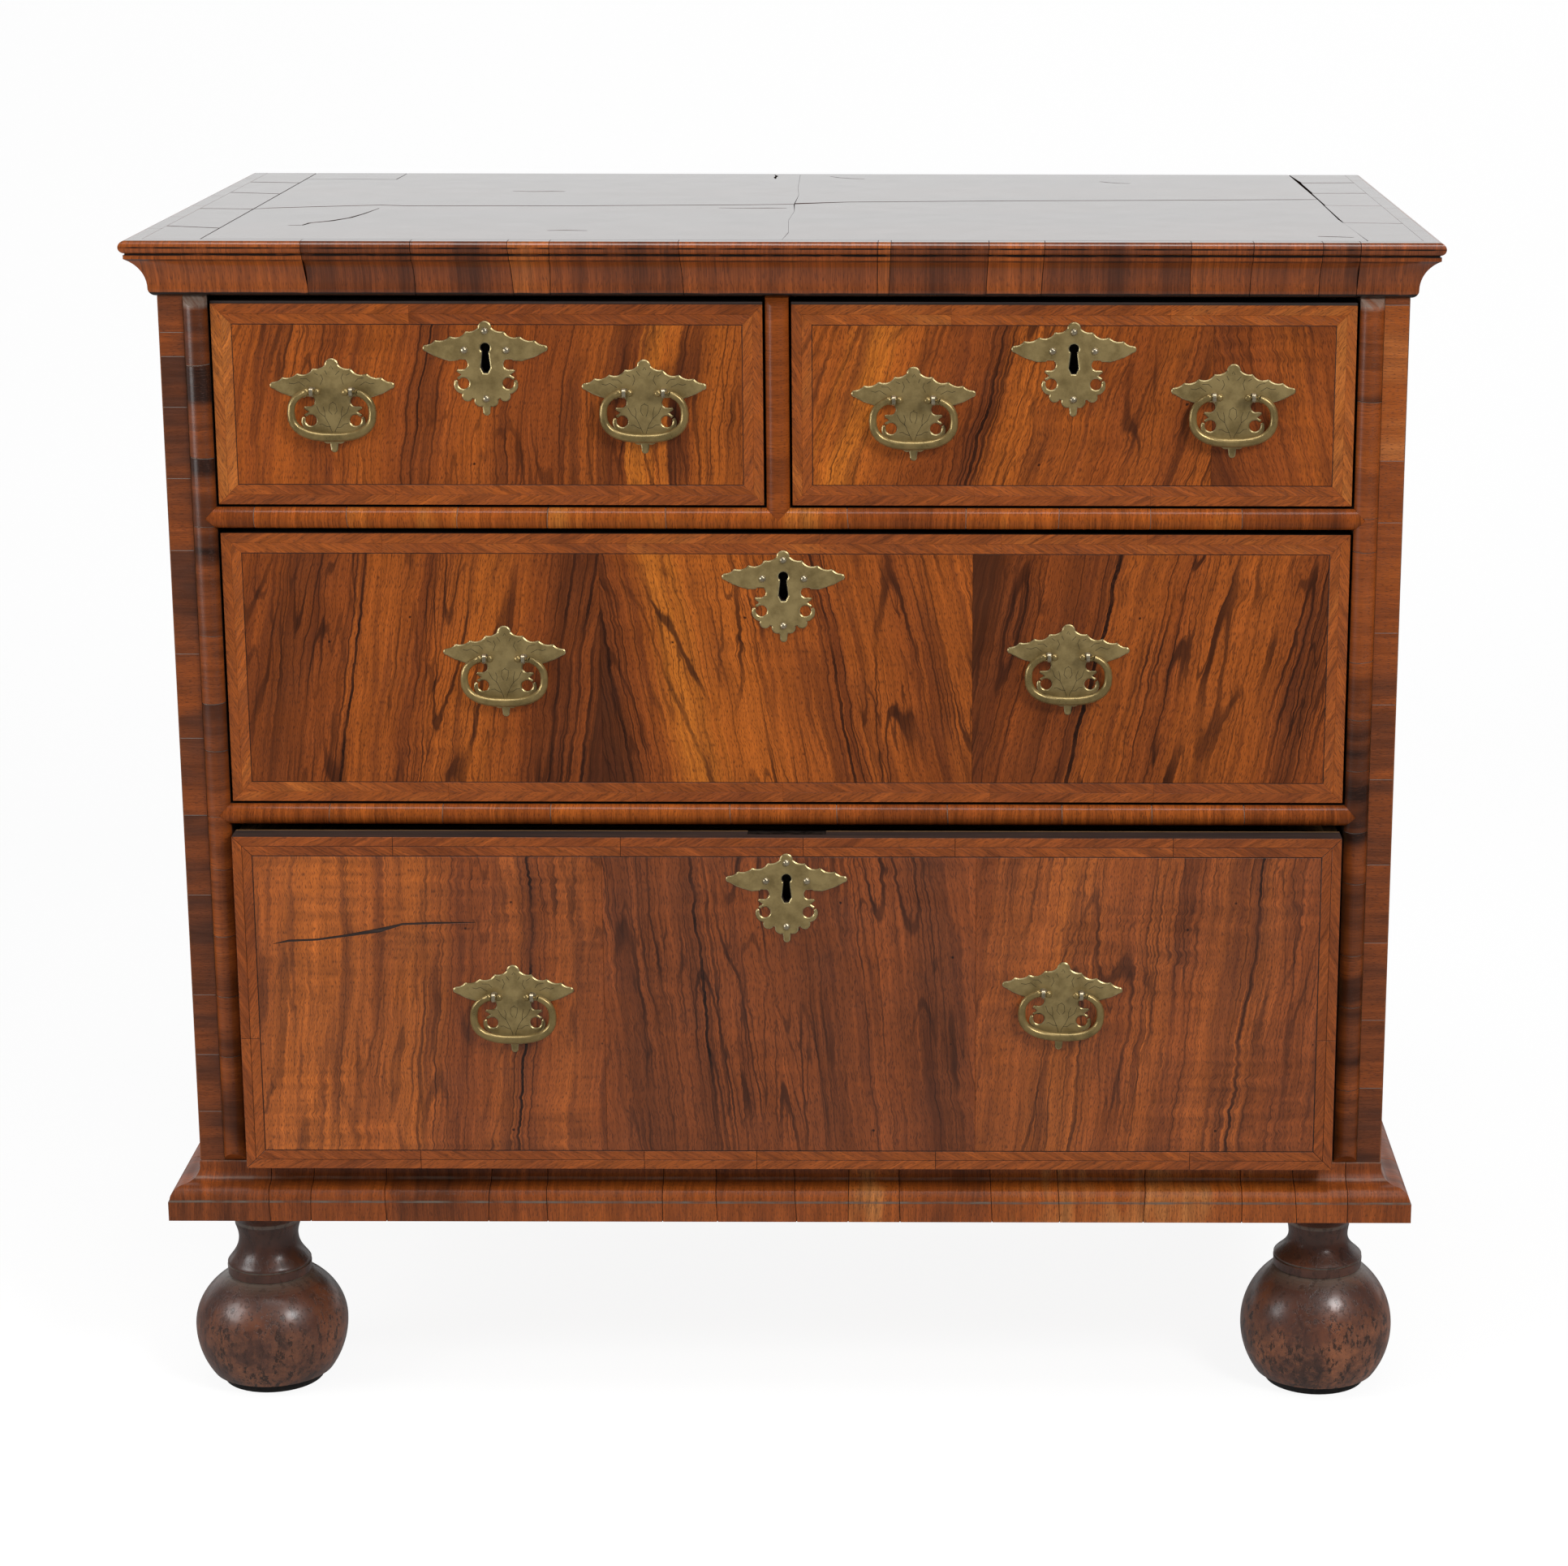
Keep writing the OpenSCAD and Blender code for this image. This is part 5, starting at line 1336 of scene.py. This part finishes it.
    def engraved(self, centres, tree, keys, cut, s):
        """The strokes on both plates of a drawer, as one mesh in the third finish."""
        width_key, ink_key = keys
        curve = bpy.data.curves.new("strokes", "CURVE")
        curve.dimensions = "3D"
        source = random.Random(4)
        for middle, turn, front in centres:
            spin = Matrix.Rotation(turn, 2)
            for stroke in engraving_strokes():
                line = curve.splines.new("POLY")
                shaken = [(x + source.uniform(-0.5, 0.5), z + source.uniform(-0.5, 0.5)) for x, z in stroke]
                points = [spin @ Vector(p) for p in shaken]
                line.points.add(len(points) - 1)
                for spot, p in zip(line.points, points):
                    spot.co = ((middle.x + p.x) * MM, front - 0.00001, (middle.y + p.y) * MM, 1)
        mesh = grown("strokes", curve, tree, {width_key: s.stroke * MM, ink_key: cut})
        for face in mesh.polygons:
            face.material_index = 2
        return mesh

    def nails(self, tree, keys):
        """Iron nail heads at both ends of the back planks."""
        low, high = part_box("back_boards")
        iron = metal("rusted iron nails", "#2b211c", "#4a3a30", (0.5, 0.7), 400.0)
        plank, margin = (high.z - low.z) / 4, 0.012
        points = [
            (x, high.y - 0.00015, low.z + plank * (k + share))
            for k in range(4) for share in (0.14, 0.5, 0.86) for x in (low.x + margin, high.x - margin)
        ]
        mesh = bpy.data.meshes.new("nail points")
        mesh.from_pydata(points, [], [])
        sides = bpy.context.scene.chest_brass.pin_sides // 2
        bm = bmesh.new()
        bm.from_mesh(
            grown("nail points", mesh, tree, dict(zip(keys, (0.0035, (1.0, 0.03, 1.0), sides, iron))))
        )
        finish_piece("back_nails", bm, [iron], "case", slot="iron")


class CHEST_OT_feet(bpy.types.Operator):
    """Gives the turned feet and their pads their finish"""

    bl_idname = "chest.feet"
    bl_label = "Feet"

    def execute(self, context):
        low, high = (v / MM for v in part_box("foot_pads"))
        radius = 40
        reach = (high.x - low.x) / 2 - radius
        bm = bmesh.new()
        layers(bm)
        for x in (-reach, reach):
            for y in (low.y + radius, high.y - radius):
                self.turn(bm, self.profile(x < 0, high.z), x, y)
        finish_piece("turned_feet", bm, [turned_walnut()], "case", ["feet"], "dark_walnut", 40)
        pads, tree = material("worn black pad")
        rub = noise(tree, object_place(tree), 220.0, 4.0)
        colour = ramp(tree, rub, [(0.35, "#0d0b0a"), (0.65, "#221d1a")])
        surface(tree, colour, spread(tree, rub, 0.0, 1.0, 0.45, 0.7), rub, 0.0002)
        finish_piece("foot_pads_worn", merged("foot_pads"), [pads], "case", ["foot_pads"], "black_pad", 40)
        return {"FINISHED"}

    def profile(self, flat, low):
        """Radii and heights of a foot: its ball, a ring, a groove, the ogee, the waist and the flared cap."""
        ring, dome, waist, wide = (33.0, 50.8, 121.0, 2.4) if flat else (35.0, 60.8, 124.0, 1.0)
        ball, middle, bowl = 60.8, 47, 64
        neck, shoulder, cap, top = 23.7, 132, 35.0, 158.0

        def eased(share):
            return 1 - math.cos(math.pi / 2 * share)

        start, end = math.asin((middle - low) / bowl), math.acos(ring / ball)
        turns = [start * (1 - k / 12) for k in range(12)]
        points = [(ball * math.cos(a), middle - bowl * math.sin(a)) for a in turns]
        turns = [end * k / 20 for k in range(21)]
        points += [(ball * math.cos(a), middle + dome * math.sin(a)) for a in turns]
        z = points[-1][1]
        points += [(ring - 0.7, z + 0.2), (ring + 0.2, z + 0.9), (ring + 0.6, z + 7.6), (ring, z + 8.2)]
        points += [(ring - 0.8, z + 8.5), (ring - 0.8, z + 9.0), (ring + 0.3, z + 9.4)]
        bottom, base = z + 10.2, ring + 0.3
        for k in range(15):
            fall = (1 - math.cos(math.pi * (k / 14) ** 0.6)) / 2
            points.append((base - (base - neck) * fall, bottom + (waist - bottom) * k / 14))
        for k in range(1, 11):
            points.append((neck + wide * eased(k / 10), waist + (shoulder - waist) * k / 10))
        for k in range(1, 9):
            points.append((neck + wide + (cap - neck - wide) * eased(k / 8), shoulder + 14 * k / 8))
        return points + [(cap, top)]

    def turn(self, bm, profile, x, y, sides=96):
        """Turns a profile about an upright axis and closes its two ends."""
        turns = [2 * math.pi * k / sides for k in range(sides)]
        rings = [
            [bm.verts.new(((x + r * math.cos(a)) * MM, (y + r * math.sin(a)) * MM, z * MM)) for a in turns]
            for r, z in profile
        ]
        # Grey lies on the ball under the ring and under the cap as dust, and in the groove over the ring as
        # dust and a painted highlight
        tint_layer = layers(bm)[2]
        dust = {28: 0.08, 29: 0.14, 30: 0.22, 31: 0.32, 32: 0.6, 33: 0.25, 36: 0.5, 37: 0.85, 38: 0.6}
        dust.update({65: 0.3, 66: 0.3})
        for j, (lower, upper) in enumerate(zip(rings, rings[1:])):
            for k in range(sides):
                n = (k + 1) % sides
                bm.faces.new((lower[k], lower[n], upper[n], upper[k]))[tint_layer] = dust.get(j, 0.0)
        bm.faces.new(rings[0][::-1])
        bm.faces.new(rings[-1])


class CHEST_OT_inside(bpy.types.Operator):
    """Finishes the carcass, the drawer linings, the locks and the back"""

    bl_idname = "chest.inside"
    bl_label = "Inside"

    def execute(self, context):
        pine, oak = ("#6f4a2b", "#a97c4c"), ("#7a5632", "#b08a58")
        finishes = {
            rough_board("pine, boards along the case", *pine, 0): [
                "bottom_board", "dustboards", "foot_bearers"
            ],
            rough_board("pine, boards front to back", *pine, 1): ["drawer_guides", "side_left", "side_right"],
            rough_board("pine, planks of the back", "#5b4029", "#8f6a43", 0): ["back_boards"],
            rough_board("oak, drawer backs", *oak, 0, 180.0): [
                d + k for d in DRAWERS for k in ("_back", "_bottom")
            ],
            rough_board("oak, drawer sides", *oak, 1, 180.0): [d + "_sides" for d in DRAWERS],
            rough_board("darkened front edges of the carcass", "#1b100a", "#3a2417", 0, 180.0, (0.5, 0.7)): [
                "top_rail", "drawer_rails", "stile_posts"
            ],
            metal("wrought iron of the locks", "#221e1b", "#4c443e", (0.45, 0.65), 200.0): [
                d + k for d in DRAWERS for k in ("_lock", "_bolt")
            ],
        }
        # A front is dark where it shows round its veneer, as painted shade in the gaps round the drawer, and
        # clean on its inner face
        fronts = {}
        for name in DRAWERS:
            inner = round(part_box(name + "_front")[1].y, 4)
            if inner not in fronts:
                clean = inner - 0.0015, "#8a6640"
                title = f"{name} front, aged edges"
                fronts[inner] = rough_board(title, "#1d1411", "#38261d", 0, 180.0, (0.5, 0.7), clean)
            finishes.setdefault(fronts[inner], []).append(name + "_front")
        for finish, names in finishes.items():
            for name in names:
                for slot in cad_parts[name].material_slots:
                    slot.material = finish
        return {"FINISHED"}


class CHEST_OT_studio(bpy.types.Operator):
    """Sets up the floor, the backdrop, the lamps and the camera"""

    bl_idname = "chest.studio"
    bl_label = "Studio"

    def execute(self, context):
        s = context.scene.chest_studio
        self.paper(context.scene)
        self.world(context.scene, s)
        self.lamps(context.scene, s)
        self.camera(context.scene, s)
        context.scene.view_settings.view_transform = "Standard"
        return {"FINISHED"}

    def paper(self, scene):
        """A white sweep of paper under and behind the piece, which is clear from its back."""
        sheet = bpy.data.meshes.new("paper sweep")
        bend = [(2.1, 0.02), (2.28, 0.08), (2.42, 0.2), (2.5, 0.36), (2.52, 0.6)]
        profile = [(-4.5, 0.0), (1.9, 0.0), *bend, (2.52, 2.6)]
        points = [(x, y, z) for y, z in profile for x in (-4.0, 4.0)]
        strips = [(2 * k, 2 * k + 1, 2 * k + 3, 2 * k + 2) for k in range(len(profile) - 1)]
        sheet.from_pydata(points, [], strips)
        paper, tree = material("white paper sweep")
        ray = node(tree, "ShaderNodeLightPath").node.outputs
        glossy = ray["Is Glossy Ray"]
        depth = parts(tree, object_place(tree))["Y"]
        # Glossy rays see the paper glow: white on the wall behind, brighter on the floor near the piece and
        # dim farther off
        stops = [(0.25, 0.14), (0.42, 0.24), (0.82, 0.24), (0.96, 0.8)]
        level = ramp(tree, spread(tree, depth, -4.5, 2.5), stops)
        level = node(tree, "ShaderNodeMix", {0: glossy, 2: 1.05, 3: level})
        seen = maths(tree, "MAXIMUM", ray["Is Camera Ray"], ray["Is Transmission Ray"])
        seen = maths(tree, "MAXIMUM", maths(tree, "MULTIPLY", seen, 0.86), glossy)
        tone = ramp(tree, noise(tree, object_place(tree), 300.0), [(0.0, "#e6e6e4"), (1.0, "#efefed")])
        plain = node(tree, "ShaderNodeBsdfDiffuse", {"Color": tone})
        glow = node(tree, "ShaderNodeEmission", {"Color": WHITE, "Strength": level})
        both = node(tree, "ShaderNodeMixShader", {0: seen, 1: plain, 2: glow})
        behind = node(tree, "ShaderNodeNewGeometry", out="Backfacing")
        clear = node(tree, "ShaderNodeBsdfTransparent")
        both = node(tree, "ShaderNodeMixShader", {0: behind, 1: both, 2: clear})
        node(tree, "ShaderNodeOutputMaterial", {"Surface": both})
        sheet.materials.append(paper)
        sheet.shade_smooth()
        floor = bpy.data.objects.new("paper_sweep", sheet)
        scene.collection.objects.link(floor)

    def world(self, scene, s):
        """Light from all round, dim in reflections and white to the camera."""
        world = bpy.data.worlds.new("studio")
        scene.world = world
        world.use_nodes = True
        tree = world.node_tree
        tree.nodes.clear()
        ray = node(tree, "ShaderNodeLightPath").node.outputs
        dim = maths(tree, "MULTIPLY_ADD", ray["Is Glossy Ray"], s.dim - s.fill, s.fill)
        level = node(tree, "ShaderNodeBackground", {"Color": linear("#f6f8ff"), "Strength": dim})
        white = node(tree, "ShaderNodeBackground", {"Color": WHITE, "Strength": 1.0})
        both = node(tree, "ShaderNodeMixShader", {0: ray["Is Camera Ray"], 1: level, 2: white})
        node(tree, "ShaderNodeOutputWorld", {"Surface": both})

    def lamps(self, scene, s):
        """Softboxes, given as place, aim, width, height and power."""
        boxes = (
            ("near_softbox", (-1.29, -0.70, 0.81), (0.0, -0.25, 0.45), 0.55, 0.55, s.near_power),
            ("far_key", (1.92, -2.42, 2.62), (0.0, -0.1, 0.45), 0.9, 0.9, s.key_power),
            ("overhead", (0.0, -0.75, 2.7), (0.0, -0.1, 0.5), 1.6, 0.9, s.top_power),
        )
        for name, place, aim, width, height, power in boxes:
            lamp = bpy.data.lights.new(name, "AREA")
            lamp.shape, lamp.size, lamp.size_y, lamp.energy = "RECTANGLE", width, height, power
            box = bpy.data.objects.new(name, lamp)
            box.location = place
            box.rotation_euler = (Vector(aim) - Vector(place)).to_track_quat("-Z", "Y").to_euler()
            box.visible_camera = False
            scene.collection.objects.link(box)

    def camera(self, scene, s):
        """The camera that took the photograph."""
        camera = bpy.data.cameras.new("camera")
        camera.lens, camera.sensor_width, camera.shift_x = s.lens, 36.0, s.shift
        camera.sensor_fit = "HORIZONTAL"
        eye = bpy.data.objects.new("camera", camera)
        eye.location = s.eye
        turn = Matrix.Rotation(math.radians(90 - s.pitch), 4, "X") @ Matrix.Rotation(
            math.radians(s.roll), 4, "Z"
        )
        eye.rotation_euler = turn.to_euler()
        scene.collection.objects.link(eye)
        scene.camera = eye


class CHEST_PT_panel(bpy.types.Panel):
    """Lists the steps that dress the chest"""

    bl_label = "Chest of drawers"
    bl_idname = "CHEST_PT_panel"
    bl_space_type = "VIEW_3D"
    bl_region_type = "UI"
    bl_category = "Chest"

    def draw(self, context):
        for step in STEPS:
            self.layout.operator(step.bl_idname)


STEPS = (
    CHEST_OT_drawer_veneers,
    CHEST_OT_mouldings,
    CHEST_OT_case_veneers,
    CHEST_OT_brasses,
    CHEST_OT_feet,
    CHEST_OT_inside,
    CHEST_OT_studio,
)
GROUPS = {
    "chest_veneer": VeneerSettings,
    "chest_moulding": MouldingSettings,
    "chest_brass": BrassSettings,
    "chest_studio": StudioSettings,
}


def register():
    for made in (*GROUPS.values(), *STEPS, CHEST_PT_panel):
        bpy.utils.register_class(made)
    for name, group in GROUPS.items():
        setattr(bpy.types.Scene, name, PointerProperty(type=group))


def unregister():
    for name in GROUPS:
        delattr(bpy.types.Scene, name)
    for made in (CHEST_PT_panel, *reversed(STEPS), *reversed(GROUPS.values())):
        bpy.utils.unregister_class(made)


def main():
    """Dresses the chest."""
    register()
    for step in STEPS:
        group, name = step.bl_idname.split(".")
        getattr(getattr(bpy.ops, group), name)()


if __name__ == "__main__":
    main()
